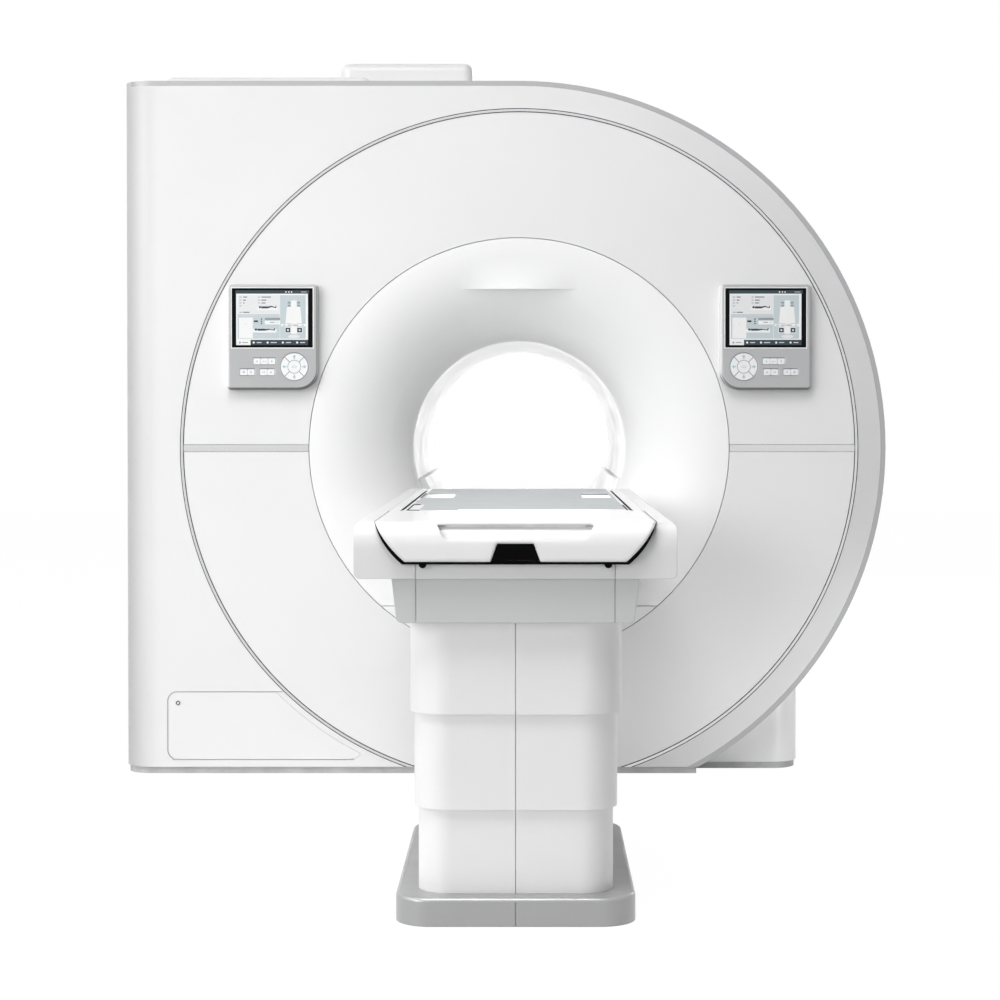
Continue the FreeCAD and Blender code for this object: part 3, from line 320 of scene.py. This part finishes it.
EDGE_TRIM = brushed("edge_trim", (0.40, 0.40, 0.41), 0.62, (1800.0, 1800.0, 2500.0))
RING_TRIM = brushed("ring_trim", (0.66, 0.66, 0.67), 0.25, (1800.0, 1800.0, 2500.0))
# a brighter copy of the cover white: painted light on the turret
TURRET_PAINTED_LIGHT = moulded("turret_painted_light", (0.93, 0.93, 0.93), 0.34, 0.25, 0.0015)
# the plinth takes the grey of the shade line under the cover, in place of its own dark colour: painted shade
PLINTH_PAINTED_SHADE = grained("plinth_painted_shade", (0.46, 0.46, 0.465), 0.60, 420.0, 0.0002)
# dark strips that paint the shade in the gaps beside the ring strip
GAP_PAINTED_SHADE = grained("gap_painted_shade", (0.07, 0.07, 0.072), 0.6, 900.0, 0.0001, 0.1)
NOSE_PAINT = moulded("nose_paint", (0.82, 0.82, 0.82), 0.32, 0.30, 0.012)
# a darker copy of the table's white: painted shade on the body below the nose
BODY_PAINTED_SHADE = moulded("body_painted_shade", (0.74, 0.74, 0.74), 0.34, 0.20, 0.003)
# darker than the table's white: partly the tray's own grey, partly painted shade from the overhang above it
TRAY_GREY_AND_PAINTED_SHADE = moulded("tray_grey_and_painted_shade", (0.59, 0.595, 0.595), 0.36, 0.20, 0.003)
FRAME_PAINT = moulded("screen_frame_paint", (0.88, 0.88, 0.88), 0.30, 0.3, 0.0006)
# pale colour for the sheet in the finger slot's mouth: painted light in place of the slot's shade
SLOT_PAINTED_LIGHT = grained("grip_slot_painted_light", (0.88, 0.885, 0.89), 0.55, 700.0, 0.0001)
MARK_BLUE = printed("mark_blue", (0.40, 0.54, 0.60))
# grey that paints the shade in the panel seams
SEAM_PAINTED_SHADE = printed("seam_painted_shade", (0.36, 0.36, 0.365))
LINE_GREY = printed("line_grey", (0.16, 0.17, 0.18))

FIELD_FINISHES = [
    lit("field_white", (0.88, 0.88, 0.88)),
    lit("field_pale", (0.78, 0.79, 0.80)),
    lit("field_blue", (0.56, 0.63, 0.655)),
    lit("field_grey", (0.30, 0.33, 0.35)),
    lit("field_slate", (0.045, 0.065, 0.08)),
    lit("field_dark", (0.015, 0.017, 0.02)),
]
WHITE, PALE, BLUE, GREY, SLATE, DARK = range(6)


# ---------------------------------------------------------------- finishes on the frame's own pieces
RIM_COLOUR = (0.795, 0.795, 0.795)
RIM_SLOPE = 0.27               # how far the arched rim seems to fall back for each metre outwards
CORNER_SHADE_WIDTH = 0.115           # of the painted shade round the square corner
CORNER_SHADE = 0.62


def cone_tilt(finish):
    """Turns the normals outwards on the arched rim outside the ring strip, which slopes back there."""
    place = finish.add("ShaderNodeMapping")
    place.inputs["Location"].default_value = (0.0, 0.0, -BORE_HEIGHT)
    place.inputs["Scale"].default_value = (1.0, 0.0, 1.0)
    finish.link(finish.place, place.inputs["Vector"])
    radius = finish.add("ShaderNodeVectorMath", operation="LENGTH")
    finish.link(place.outputs["Vector"], radius.inputs[0])
    drop = finish.add("ShaderNodeMath", operation="MULTIPLY")
    finish.link(finish.remap(radius.outputs["Value"], RIM_START, RIM_START + 1.0), drop.inputs[0])
    finish.link(finish.remap(finish.part(finish.place, "X"), -0.1, 0.5), drop.inputs[1])
    bump = finish.add("ShaderNodeBump", invert=True)
    bump.inputs["Strength"].default_value = 1.0
    bump.inputs["Distance"].default_value = RIM_SLOPE
    finish.link(drop.outputs["Value"], bump.inputs["Height"])
    return bump.outputs["Normal"]


def rim_cover():
    """The front cover's paint, with the slope of its arched rim and painted shade round its square corner."""
    finish = Finish("rim_cover")
    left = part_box("front_cover")[0][0]
    # painted shade: the paint grows darker towards the cover's square left corner
    corner = finish.remap(finish.part(finish.place, "X"), left, left + CORNER_SHADE_WIDTH, CORNER_SHADE, 1.0,
                          interpolation_type="SMOOTHSTEP")
    finish.colour(finish.times(paint_drift(finish, RIM_COLOUR), corner))
    finish.roughness(finish.spread(wiped_gloss(finish), 0.29, 0.41))
    finish.normal(orange_peel(finish, cone_tilt(finish)))
    finish.set(coat=0.04, coat_roughness=0.3, specular=0.2)
    return finish.material


OWN_FINISHES = {
    "table_tray": TRAY_GREY_AND_PAINTED_SHADE,
    "table_body": BODY_PAINTED_SHADE,
    "table_nose": NOSE_PAINT,
    "edge_trim": EDGE_TRIM,
    "ring_trim": RING_TRIM,
    "front_cover": rim_cover(),
    "turret_cover": TURRET_PAINTED_LIGHT,
    "base_plinth": PLINTH_PAINTED_SHADE,
}


def dress_frame():
    for node, obj in NODES.items():
        finish = OWN_FINISHES.get(node, MATERIALS[NODE_SLOT[node]])
        for piece in [obj] if obj.type == "MESH" else [child for child in obj.children if child.type == "MESH"]:
            if not piece.material_slots:
                piece.data.materials.append(None)
            for place in piece.material_slots:
                place.material = finish


# ---------------------------------------------------------------- thin pieces
def new_piece(name, bm, body, finishes):
    """Turns a mesh under construction into a piece that rides on a body."""
    mesh = bpy.data.meshes.new(name)
    bm.to_mesh(mesh)
    bm.free()
    for finish in finishes:
        mesh.materials.append(finish)
    piece = bpy.data.objects.new(name, mesh)
    scene.collection.objects.link(piece)
    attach(piece, body)


def slab(bm, outline, base, lift, place, index=0):
    """A flat shape with a little thickness, its outline given in its own plane."""
    low = [bm.verts.new(place(u, v, base)) for u, v in outline]
    high = [bm.verts.new(place(u, v, base + lift)) for u, v in outline]
    faces = [bm.faces.new(low), bm.faces.new(high[::-1])]
    for a in range(len(outline)):
        b = (a + 1) % len(outline)
        faces.append(bm.faces.new((low[a], high[a], high[b], low[b])))
    for face in faces:
        face.material_index = index
    bmesh.ops.recalc_face_normals(bm, faces=faces)


def band(bm, outer, inner, base, lift, place, index=0, closed=True):
    """A band between two outlines of as many points."""
    rings = [[bm.verts.new(place(u, v, height)) for u, v in outline]
             for outline, height in ((outer, base), (outer, base + lift), (inner, base + lift), (inner, base))]
    faces = []
    for one, two in zip(rings, rings[1:] + rings[:1]):
        for a in range(len(outer) if closed else len(outer) - 1):
            b = (a + 1) % len(outer)
            faces.append(bm.faces.new((one[a], one[b], two[b], two[a])))
    if not closed:
        faces += [bm.faces.new([ring[end] for ring in rings]) for end in (0, -1)]
    for face in faces:
        face.material_index = index
    bmesh.ops.recalc_face_normals(bm, faces=faces)


def rect(u0, v0, u1, v1):
    return [(u0, v0), (u1, v0), (u1, v1), (u0, v1)]


def oval(u, v, ru, rv, count=20):
    turns = [2 * math.pi * n / count for n in range(count)]
    return [(u + ru * math.cos(t), v + rv * math.sin(t)) for t in turns]


# ---------------------------------------------------------------- screens
GLASS_WIDTH = 0.240
FIELD_LIFT = 0.10              # millimetres, each layer above the one below
FRAME_OUT = 2.6                # millimetres that the white frame reaches outside the glass
FRAME_IN = 0.2
FRAME_LIFT = 0.9


def screen_fields():
    """The picture of a display as (layer, finish, outline), in millimetres from the glass's top left corner."""
    fields = [
        (0, SLATE, rect(11, 6.5, 229, 16.5)),
        (0, WHITE, rect(13, 16.5, 225.5, 153)),
        (0, SLATE, rect(55.5, 153, 225.5, 168.5)),
        (0, WHITE, rect(13, 153, 55.5, 168.5)),
        (1, PALE, rect(17, 21, 142, 78)),
        (1, BLUE, rect(17, 80, 142, 149.5)),
        (1, BLUE, rect(143, 21, 218.5, 149.5)),
        (2, GREY, rect(17, 78, 142, 79)),
        (2, WHITE, rect(21, 87, 62.5, 148)),
        (3, PALE, oval(41, 105.5, 2.6, 2.6)),
    ]
    for v in (26.5, 35.5, 44.0, 52.5):
        fields.append((2, GREY, rect(22.5, v - 1, 29, v + 1)))
    for v, u in ((26.5, 45.5), (35.5, 42), (44.0, 38), (71.5, 52)):
        fields.append((2, SLATE, rect(34, v - 1.2, u, v + 1.2)))
    for v, u in ((26.5, 116), (35.5, 102), (44.0, 100)):
        fields.append((2, GREY, rect(78, v - 1, 83.5, v + 1)))
        fields.append((2, SLATE, rect(88, v - 1.2, u, v + 1.2)))
    fields.append((2, GREY, rect(23, 70.5, 31, 72.5)))
    fields += lying_figure(80, 57.5, True, 0.98)
    fields += [
        (2, DARK, rect(65.5, 95.5, 77.5, 100.5)),
        (2, WHITE, rect(98, 96.5, 143, 107.5)),
        (2, GREY, rect(98, 88, 143, 94.5)),
        (3, GREY, rect(113, 100, 127, 102.5)),
        (3, BLUE, rect(131, 100, 138, 102.5)),
    ]
    for v in (91.5, 98.0, 104.5):
        fields.append((2, DARK, rect(86, v - 1.8, 90, v + 1.8)))
    fields += lying_figure(67.5, 123.5, False, 1.14)
    fields += bed_plan()
    for u, dash in ((65, 14), (106, 18), (151, 15), (193.5, 14)):
        fields.append((1, WHITE, oval(u, 161, 3.1, 3.1, 14)))
        fields.append((1, PALE, rect(u + 9, 159.8, u + 9 + dash, 162.2)))
    fields.append((1, GREY, rect(31, 159.8, 48, 162.2)))
    fields.append((1, GREY, oval(24, 161, 2.8, 2.8, 14)))
    for u in (160.5, 169, 177):
        fields.append((1, WHITE, oval(u, 11.5, 2.2, 2.2, 12)))
    fields.append((1, PALE, rect(205, 10.8, 222, 12.2)))
    return fields


def lying_figure(u, v, knees, stretch):
    """A plain lying figure on a white couch."""
    rise = 3.0 if knees else 0.8
    shapes = [
        (2, WHITE, rect(-5, -3, 57, 8)),
        (3, SLATE, oval(3.5, -1.0, 3.6, 3.2, 14)),
        (3, SLATE, [(7, -3.2), (26, -3.4), (28, 2.4), (8, 2.6)]),
        (3, SLATE, [(26, -2.6), (38, -2.2 - rise), (39, 0.2 - rise * 0.6), (27, 2.4)]),
        (3, SLATE, [(38, -2.2 - rise), (50, -1.0), (50, 1.6), (38, 0.2 - rise * 0.6)]),
        (3, SLATE, [(49, 1.6), (51, -5.2), (53.5, -4.8), (52.5, 1.8)]),
    ]
    return [(layer, index, [(u + a * stretch, v + b) for a, b in outline]) for layer, index, outline in shapes]


def bed_plan():
    """The couch seen from above, with its labels."""
    fields = [
        (2, WHITE, [(175.5, 36.5), (192, 36.5), (192, 54), (203, 56), (207.5, 104), (159, 104), (163, 56),
                    (175.5, 54)]),
        (2, WHITE, rect(175.5, 104, 192, 135)),
        (2, WHITE, rect(146, 106, 220, 113)),
        (2, PALE, oval(183.7, 143, 18, 5, 24)),
    ]
    for u in (169.8, 197.8):
        fields.append((2, GREY, rect(u - 4.2, 40.5, u + 4.2, 46)))
        fields.append((2, GREY, rect(u - 4.2, 49, u + 4.2, 55)))
    for u in (166.2, 200.7):
        fields.append((2, WHITE, rect(u - 9, 115.5, u + 9, 133)))
        fields.append((3, SLATE, rect(u - 7.2, 117.5, u + 7.2, 131)))
        fields.append((4, PALE, rect(u - 2.6, 121.8, u + 2.6, 126.8)))
    for u, dash in ((155, 8), (170, 10), (191, 12), (210, 5)):
        fields.append((3, GREY, rect(u - dash / 2, 108.7, u + dash / 2, 110.7)))
    return fields


def screens():
    low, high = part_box("display_screens")
    for side, left in (("left", low[0]), ("right", high[0] - GLASS_WIDTH)):
        def place(u, v, height):
            return left + u / 1000, low[1] - height / 1000, high[2] - v / 1000

        bm = bmesh.new()
        for layer, index, outline in screen_fields():
            slab(bm, outline, layer * FIELD_LIFT, FIELD_LIFT, place, index)
        new_piece(side + "_screen_fields", bm, "gantry", FIELD_FINISHES)
        bm = bmesh.new()
        tall = (high[2] - low[2]) * 1000
        wide = GLASS_WIDTH * 1000
        outer = rect(-FRAME_OUT, -FRAME_OUT, wide + FRAME_OUT, tall + FRAME_OUT)
        inner = rect(FRAME_IN, FRAME_IN, wide - FRAME_IN, tall - FRAME_IN)
        band(bm, outer, inner, 0, FRAME_LIFT, place)
        new_piece(side + "_screen_frame", bm, "gantry", [FRAME_PAINT])


# ---------------------------------------------------------------- marks on the keys, in millimetres
SIGN_LIFT = 0.12
LINE_LIFT = 0.10
ARROW_PLACE = 29.5             # from the wheel's middle to its arrows


def mark_shapes():
    """One plain sign for each key, in millimetres about the key's middle, v pointing down."""
    left = [(-3.4, 0), (1.6, -3.2), (1.6, 3.2)]
    return {
        "key_1": [left],
        "key_2": [rect(-5, -1.1, -1, 1.1), rect(1, -1.1, 5, 1.1)],
        "key_3": [[(-u, v) for u, v in left]],
        "key_4": [oval(0, 0, 3.4, 3.4, 16)],
        "key_5": [[(-3.6, -2.2), (3.6, -2.2), (0, 3.4)]],
        "key_6": [[(-1, 0), (3.4, -3.4), (3.4, 3.4)], rect(-3.6, -3.2, -2.2, 3.2)],
        "key_7": [[(-3.6, 2.4), (0, -3.6), (3.6, 2.4)]],
    }


def key_marks():
    for side in ("left", "right"):
        for key, shapes in mark_shapes().items():
            sign("%s_%s" % (side, key), shapes)
        wheel_marks(side)


def on_key(node):
    """Places points given in millimetres about the middle of a key's face, v pointing down."""
    low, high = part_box(node)

    def place(u, v, height):
        return (low[0] + high[0]) / 2 + u / 1000, low[1] - height / 1000, (low[2] + high[2]) / 2 - v / 1000

    return place


def turned(shape, angle):
    cos, sin = math.cos(angle), math.sin(angle)
    return [(u * cos - v * sin, u * sin + v * cos) for u, v in shape]


def sign(node, shapes):
    place = on_key(node)
    bm = bmesh.new()
    for shape in shapes:
        slab(bm, shape, 0, SIGN_LIFT, place)
    new_piece(node + "_mark", bm, node + "_body", [MARK_BLUE])


def wheel_marks(side):
    """Four plain arrows, painted shade in the grooves between the wheel's quarters, and an oval on its centre.
    """
    arrow = [(-6.4, 0), (0.6, -5.4), (0.6, -1.8), (6.4, -1.8), (6.4, 1.8), (0.6, 1.8), (0.6, 5.4)]
    arrow = [(u - ARROW_PLACE, v) for u, v in arrow]
    sign(side + "_wheel", [turned(arrow, math.radians(90 * quarter)) for quarter in range(4)])
    place = on_key(side + "_wheel")
    bm = bmesh.new()
    # dark strips that paint the shade in the grooves between the wheel's quarters
    for quarter in range(4):
        line = turned(rect(20.2, -0.9, 39.2, 0.9), math.radians(45 + 90 * quarter))
        slab(bm, line, 0, LINE_LIFT, place)
    new_piece(side + "_wheel_lines", bm, side + "_wheel_body", [LINE_GREY])
    bm = bmesh.new()
    band(bm, oval(0, 0, 40.9, 40.9, 64), oval(0, 0, 39.9, 39.9, 64), 0, LINE_LIFT, place)
    band(bm, oval(0, 0, 19.9, 19.9, 48), oval(0, 0, 18.7, 18.7, 48), 0, LINE_LIFT, place)
    new_piece(side + "_wheel_rims", bm, side + "_wheel_body", [LINE_GREY])
    bm = bmesh.new()
    band(bm, oval(0, 0, 7.4, 3.6, 32), oval(0, 0, 6.0, 2.2, 32), 0, SIGN_LIFT, place)
    new_piece(side + "_wheel_centre_mark", bm, side + "_wheel_centre_body", [MARK_BLUE])


# ---------------------------------------------------------------- trims of the table
STRIP_LIFT = 0.0006            # of the black clips and long strips off the deck
SLOT_EDGE_LIFT = 0.0005
GRIP_SLOT = (-0.1466, 0.8387, 0.1466, 0.8428)
GRIP_BACK = 2.8240             # how far the pale sheet's back lies towards the table end
GRIP_LIFT = 0.004


def deck_strips(name, finish, strips, lift):
    """Low strips on the deck: each is (x0, y0, x1, y1)."""
    bm = bmesh.new()
    for strip in strips:
        slab(bm, rect(*strip), DECK_TOP, lift, lambda x, y, z: (x, y, z))
    new_piece(name, bm, "cradle", [finish])


def table_trims():
    deck_strips("deck_clips", MATERIALS["black_rubber"], [
        (-0.2560, -2.306, -0.2525, -2.016),
        (-0.2560, -2.030, -0.2380, -2.002),
        (-0.2560, -2.322, -0.2260, -2.298),
        (-0.2590, -1.600, -0.2560, -1.290),
        (0.2560, -2.306, 0.2595, -2.036),
        (0.2630, -2.300, 0.2680, -1.120),
        (-0.2680, -2.300, -0.2630, -1.120),
    ], STRIP_LIFT)
    deck_strips("deck_slot_edges", LINE_GREY, [
        (0.1720, -1.400, 0.2480, -1.305),
        (-0.2480, -1.350, -0.1720, -1.305),
    ], SLOT_EDGE_LIFT)


def grip_slot_painted_light():
    """A pale sheet in the mouth of the finger slot, which paints light into the slot's shade."""
    bm = bmesh.new()
    slab(bm, rect(*GRIP_SLOT), GRIP_BACK, GRIP_LIFT, lambda x, z, reach: (x, -reach, z))
    new_piece("grip_slot_lining", bm, "lift", [SLOT_PAINTED_LIGHT])


# ---------------------------------------------------------------- the brow over the bore and the painted shade in the ring's gaps
FUNNEL_RADIUS = 0.624
FUNNEL_BEND = 0.33365          # radius of the funnel's outer arc
BROW_FOOT = 0.4737             # its underside above the bore axis
BROW_HALF = 0.184              # half its width
BROW_RISE = 0.095
BROW_STANDOFF = 0.030          # how far it stands out of the funnel at its fullest
SKIN_SINK = 0.0002             # the skin's edges lie this deep in the funnel
SKIN_TUCK = 0.0010             # and its lower edge is turned in this deep
MARK_LIFT = 0.0003             # of the painted shade in the ring's gaps and in the seams, off the front face
GAP_SHADE_RADII = ((0.9968, 0.9999), (1.0060, 1.0090))
ARC_STEPS = 240


def funnel_depth(radius):
    """How far the funnel's skin lies behind the front at a radius from the bore axis."""
    return FUNNEL_BEND - math.sqrt(FUNNEL_BEND ** 2 - (FUNNEL_RADIUS - radius) ** 2)


def hood_skin():
    """A soft skin over the brow, which runs out into the funnel without an edge."""
    columns, rows = 72, 28
    bm = bmesh.new()
    grid = []
    for row in range(-1, rows + 1):
        up = max(row, 0) / rows
        line = []
        for column in range(columns + 1):
            x = BROW_HALF * (2 * column / columns - 1)
            z = BROW_FOOT + BROW_RISE * up
            swell = (1 - (x / BROW_HALF) ** 2) ** 2 * (1 - up) ** 2
            stand = BROW_STANDOFF * swell - SKIN_SINK if row >= 0 else -SKIN_TUCK
            line.append(bm.verts.new((x, FRONT_Y + funnel_depth(math.hypot(x, z)) - stand, BORE_HEIGHT + z)))
        grid.append(line)
    for low, high in zip(grid, grid[1:]):
        for column in range(columns):
            face = bm.faces.new((low[column], low[column + 1], high[column + 1], high[column]))
            face.smooth = True
    for edge in bm.edges:
        edge.smooth = not all(vert in grid[1] for vert in edge.verts)
    new_piece("hood_skin", bm, "gantry", [MATERIALS["funnel_white"]])


def ring_gaskets():
    """Dark strips of painted shade in the gaps either side of the ring strip, which end where the strip does,
    above the floor.
    """
    bm = bmesh.new()
    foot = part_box("ring_trim")[0][2] - BORE_HEIGHT

    def place(u, v, height):
        return u, FRONT_Y - height, BORE_HEIGHT + v

    def arc(radius):
        start = math.asin(foot / radius)
        turns = [start + (math.pi - 2 * start) * n / ARC_STEPS for n in range(ARC_STEPS + 1)]
        return [(radius * math.cos(t), radius * math.sin(t)) for t in turns]

    for inner, outer in GAP_SHADE_RADII:
        band(bm, arc(outer), arc(inner), 0, MARK_LIFT, place, closed=False)
    new_piece("ring_gaskets", bm, "gantry", [GAP_PAINTED_SHADE])


# ---------------------------------------------------------------- the service hatch
def face_outline(node):
    """The outline of a piece's flat front face, as (x, z) points in order."""
    obj = NODES[node]
    mesh_obj = obj if obj.type == "MESH" else next(child for child in obj.children if child.type == "MESH")
    points = [mesh_obj.matrix_world @ vert.co for vert in mesh_obj.data.vertices]
    sides = {}
    for face in mesh_obj.data.polygons:
        if all(abs(points[n].y - FRONT_Y) < 1e-5 for n in face.vertices):
            for edge in face.edge_keys:
                sides[edge] = sides.get(edge, 0) + 1
    near = {}
    for (a, b), count in sides.items():
        if count == 1:
            for one, two in ((a, b), (b, a)):
                near.setdefault(key_of(points[one]), []).append(key_of(points[two]))
    start = min(near)
    loop, last = [start], None
    while True:
        step = next(point for point in near[loop[-1]] if point != last)
        if step == start or len(loop) > len(near):
            return loop
        last = loop[-1]
        loop.append(step)


def key_of(point):
    return round(point.x, 5), round(point.z, 5)


def moved_out(loop, amount):
    """A closed outline pushed out by a distance."""
    area = sum(a[0] * b[1] - b[0] * a[1] for a, b in zip(loop, loop[1:] + loop[:1]))
    turn = 1 if area > 0 else -1
    moved = []
    for a, b, c in zip(loop[-1:] + loop[:-1], loop, loop[1:] + loop[:1]):
        along = (Vector(b) - Vector(a)).normalized() + (Vector(c) - Vector(b)).normalized()
        along.normalize()
        moved.append((b[0] + turn * along.y * amount, b[1] - turn * along.x * amount))
    return moved


HATCH_LOCK = (-1.016, 0.211)
SEAM = (0.0006, 0.0032)        # its edges, outside the hatch's outline
SEAM_END = -0.725              # x where its outline part ends, and the level line goes on to SEAM_RING
SEAM_RING = -0.704
SEAM_FOOT = 0.0465             # z above the hatch's hinge where the outline part begins
HINGE_LINE = (-1.033, 0.0402, -0.492, 0.0428)


def hatch_marks():
    """Painted shade along the seam round the service hatch's opening, and the dark ring of its lock."""
    def on_front(x, z, height):
        return x, FRONT_Y - height, z

    def in_seam(point):
        return point[0] < SEAM_END and point[1] > SEAM_FOOT

    near, far = SEAM
    loop = face_outline("access_panel")
    start = next(n for n in range(len(loop)) if in_seam(loop[n]) and not in_seam(loop[n - 1]))
    loop = loop[start:] + loop[:start]
    count = next(n for n in range(len(loop)) if not in_seam(loop[n]))
    top = max(z for x, z in loop)
    bm = bmesh.new()
    outer, inner = (moved_out(loop, amount)[:count] for amount in (far, near))
    band(bm, outer, inner, 0, MARK_LIFT, on_front, closed=False)
    slab(bm, rect(max(x for x, z in loop[:count]), top + near, SEAM_RING, top + far), 0, MARK_LIFT, on_front)
    slab(bm, rect(*HINGE_LINE), 0, MARK_LIFT, on_front)
    new_piece("hatch_seam", bm, "gantry", [SEAM_PAINTED_SHADE])
    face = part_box("access_lock")[0][1]

    def on_lock(u, v, height):
        return HATCH_LOCK[0] + u / 1000, face - height / 1000, HATCH_LOCK[1] - v / 1000

    bm = bmesh.new()
    band(bm, oval(0, 0, 6.3, 6.3, 32), oval(0, 0, 3.8, 3.8, 32), 0, 0.3, on_lock)
    new_piece("lock_ring", bm, "hatch_lock", [MATERIALS["black_plastic"]])


# ---------------------------------------------------------------- room, light and camera
def background_rays(tree):
    """1 for rays that should meet the white room: the camera's, and those in gloss and glass."""
    path = tree.nodes.new("ShaderNodeLightPath")
    total = path.outputs["Is Camera Ray"]
    for kind in ("Is Glossy Ray", "Is Transmission Ray"):
        both = tree.nodes.new("ShaderNodeMath")
        both.operation = "MAXIMUM"
        tree.links.new(total, both.inputs[0])
        tree.links.new(path.outputs[kind], both.inputs[1])
        total = both.outputs["Value"]
    return total


PAPER_GLOW = 1.03
GLOW_SHARE = 0.95              # of what the camera sees of the floor; the rest is the lit floor with its shadow


def backdrop():
    """A plain pale floor under a white room."""
    mesh = bpy.data.meshes.new("studio_floor")
    bm = bmesh.new()
    bm.faces.new([bm.verts.new((x, y, 0.0)) for x, y in rect(-16.0, -16.0, 16.0, 16.0)])
    bm.to_mesh(mesh)
    bm.free()
    floor = bpy.data.objects.new("studio_floor", mesh)
    scene.collection.objects.link(floor)
    finish = Finish("studio_paper")
    finish.colour(finish.ramp(finish.noise(0.8, 2.0), (0.84, 0.84, 0.84), (0.86, 0.86, 0.86)))
    finish.shader.inputs["Roughness"].default_value = 0.9
    glow = finish.add("ShaderNodeEmission")
    glow.inputs["Strength"].default_value = PAPER_GLOW
    mix = finish.add("ShaderNodeMixShader")
    share = finish.add("ShaderNodeMath", operation="MULTIPLY")
    share.inputs[1].default_value = GLOW_SHARE
    finish.link(background_rays(finish.tree), share.inputs[0])
    finish.link(share.outputs["Value"], mix.inputs["Fac"])
    finish.link(finish.shader.outputs["BSDF"], mix.inputs[1])
    finish.link(glow.outputs["Emission"], mix.inputs[2])
    finish.link(mix.outputs["Shader"], finish.tree.nodes["Material Output"].inputs["Surface"])
    floor.data.materials.append(finish.material)


def world_light(level):
    """Even white room light, seen as white by the camera and in gloss."""
    world = bpy.data.worlds.new("studio_world")
    world.use_nodes = True
    scene.world = world
    tree = world.node_tree
    lit_room = tree.nodes["Background"]
    lit_room.inputs["Color"].default_value = (1, 1, 1, 1)
    lit_room.inputs["Strength"].default_value = level
    white = tree.nodes.new("ShaderNodeBackground")
    white.inputs["Color"].default_value = (1, 1, 1, 1)
    white.inputs["Strength"].default_value = 1.0
    mix = tree.nodes.new("ShaderNodeMixShader")
    tree.links.new(background_rays(tree), mix.inputs["Fac"])
    tree.links.new(lit_room.outputs["Background"], mix.inputs[1])
    tree.links.new(white.outputs["Background"], mix.inputs[2])
    tree.links.new(mix.outputs["Shader"], tree.nodes["World Output"].inputs["Surface"])


def area_light(name, place, target, width, height, power, spread):
    lamp = bpy.data.lights.new(name, "AREA")
    lamp.shape = "RECTANGLE"
    lamp.size = width
    lamp.size_y = height
    lamp.energy = power
    lamp.spread = math.radians(spread)
    light = bpy.data.objects.new(name, lamp)
    light.visible_camera = False
    light.location = place
    light.rotation_euler = (Vector(target) - Vector(place)).to_track_quat("-Z", "Y").to_euler()
    scene.collection.objects.link(light)


ROOM_LEVEL = 0.29
# name, place, target, width and height, watts, spread in degrees
LIGHTS = (
    ("key_light", (-6.2, -8.0, 2.8), (0.0, -1.5, 0.8), 3.6, 3.6, 212, 180.0),
    ("wash_light", (-3.6, -3.0, 2.8), (0.2, -0.9, 0.9), 2.4, 2.4, 52, 180.0),
    ("top_light", (-0.8, -3.9, 5.0), (0.0, -2.3, 0.8), 2.4, 2.4, 38, 80.0),
    ("bore_light", (0.0, 2.6, 1.15), (0.0, 0.0, 0.95), 1.6, 1.2, 10, 180.0),
    ("back_light", (3.2, 5.2, 3.2), (0.3, 0.5, 1.0), 2.0, 2.0, 110, 180.0),
    ("low_fill", (1.9, -2.3, 0.15), (1.13, -0.75, 0.18), 0.4, 0.3, 0.68, 40.0),
)


def lights():
    world_light(ROOM_LEVEL)
    for light in LIGHTS:
        area_light(*light)


def camera():
    """The photograph's viewpoint: a little above the table top, with a long lens and a small shift."""
    lens = bpy.data.cameras.new("view_camera")
    lens.sensor_width = 36.0
    lens.lens = 77.67
    lens.shift_x = -0.0275
    lens.shift_y = -0.0563
    lens.clip_end = 60.0
    view = bpy.data.objects.new("view_camera", lens)
    view.location = (0.025, -7.319, 1.081)
    view.rotation_euler = (math.radians(89.127), 0.0, 0.0)
    scene.collection.objects.link(view)
    scene.camera = view


dress_frame()
screens()
key_marks()
table_trims()
grip_slot_painted_light()
hood_skin()
ring_gaskets()
hatch_marks()
backdrop()
lights()
camera()
scene.view_settings.view_transform = "Standard"
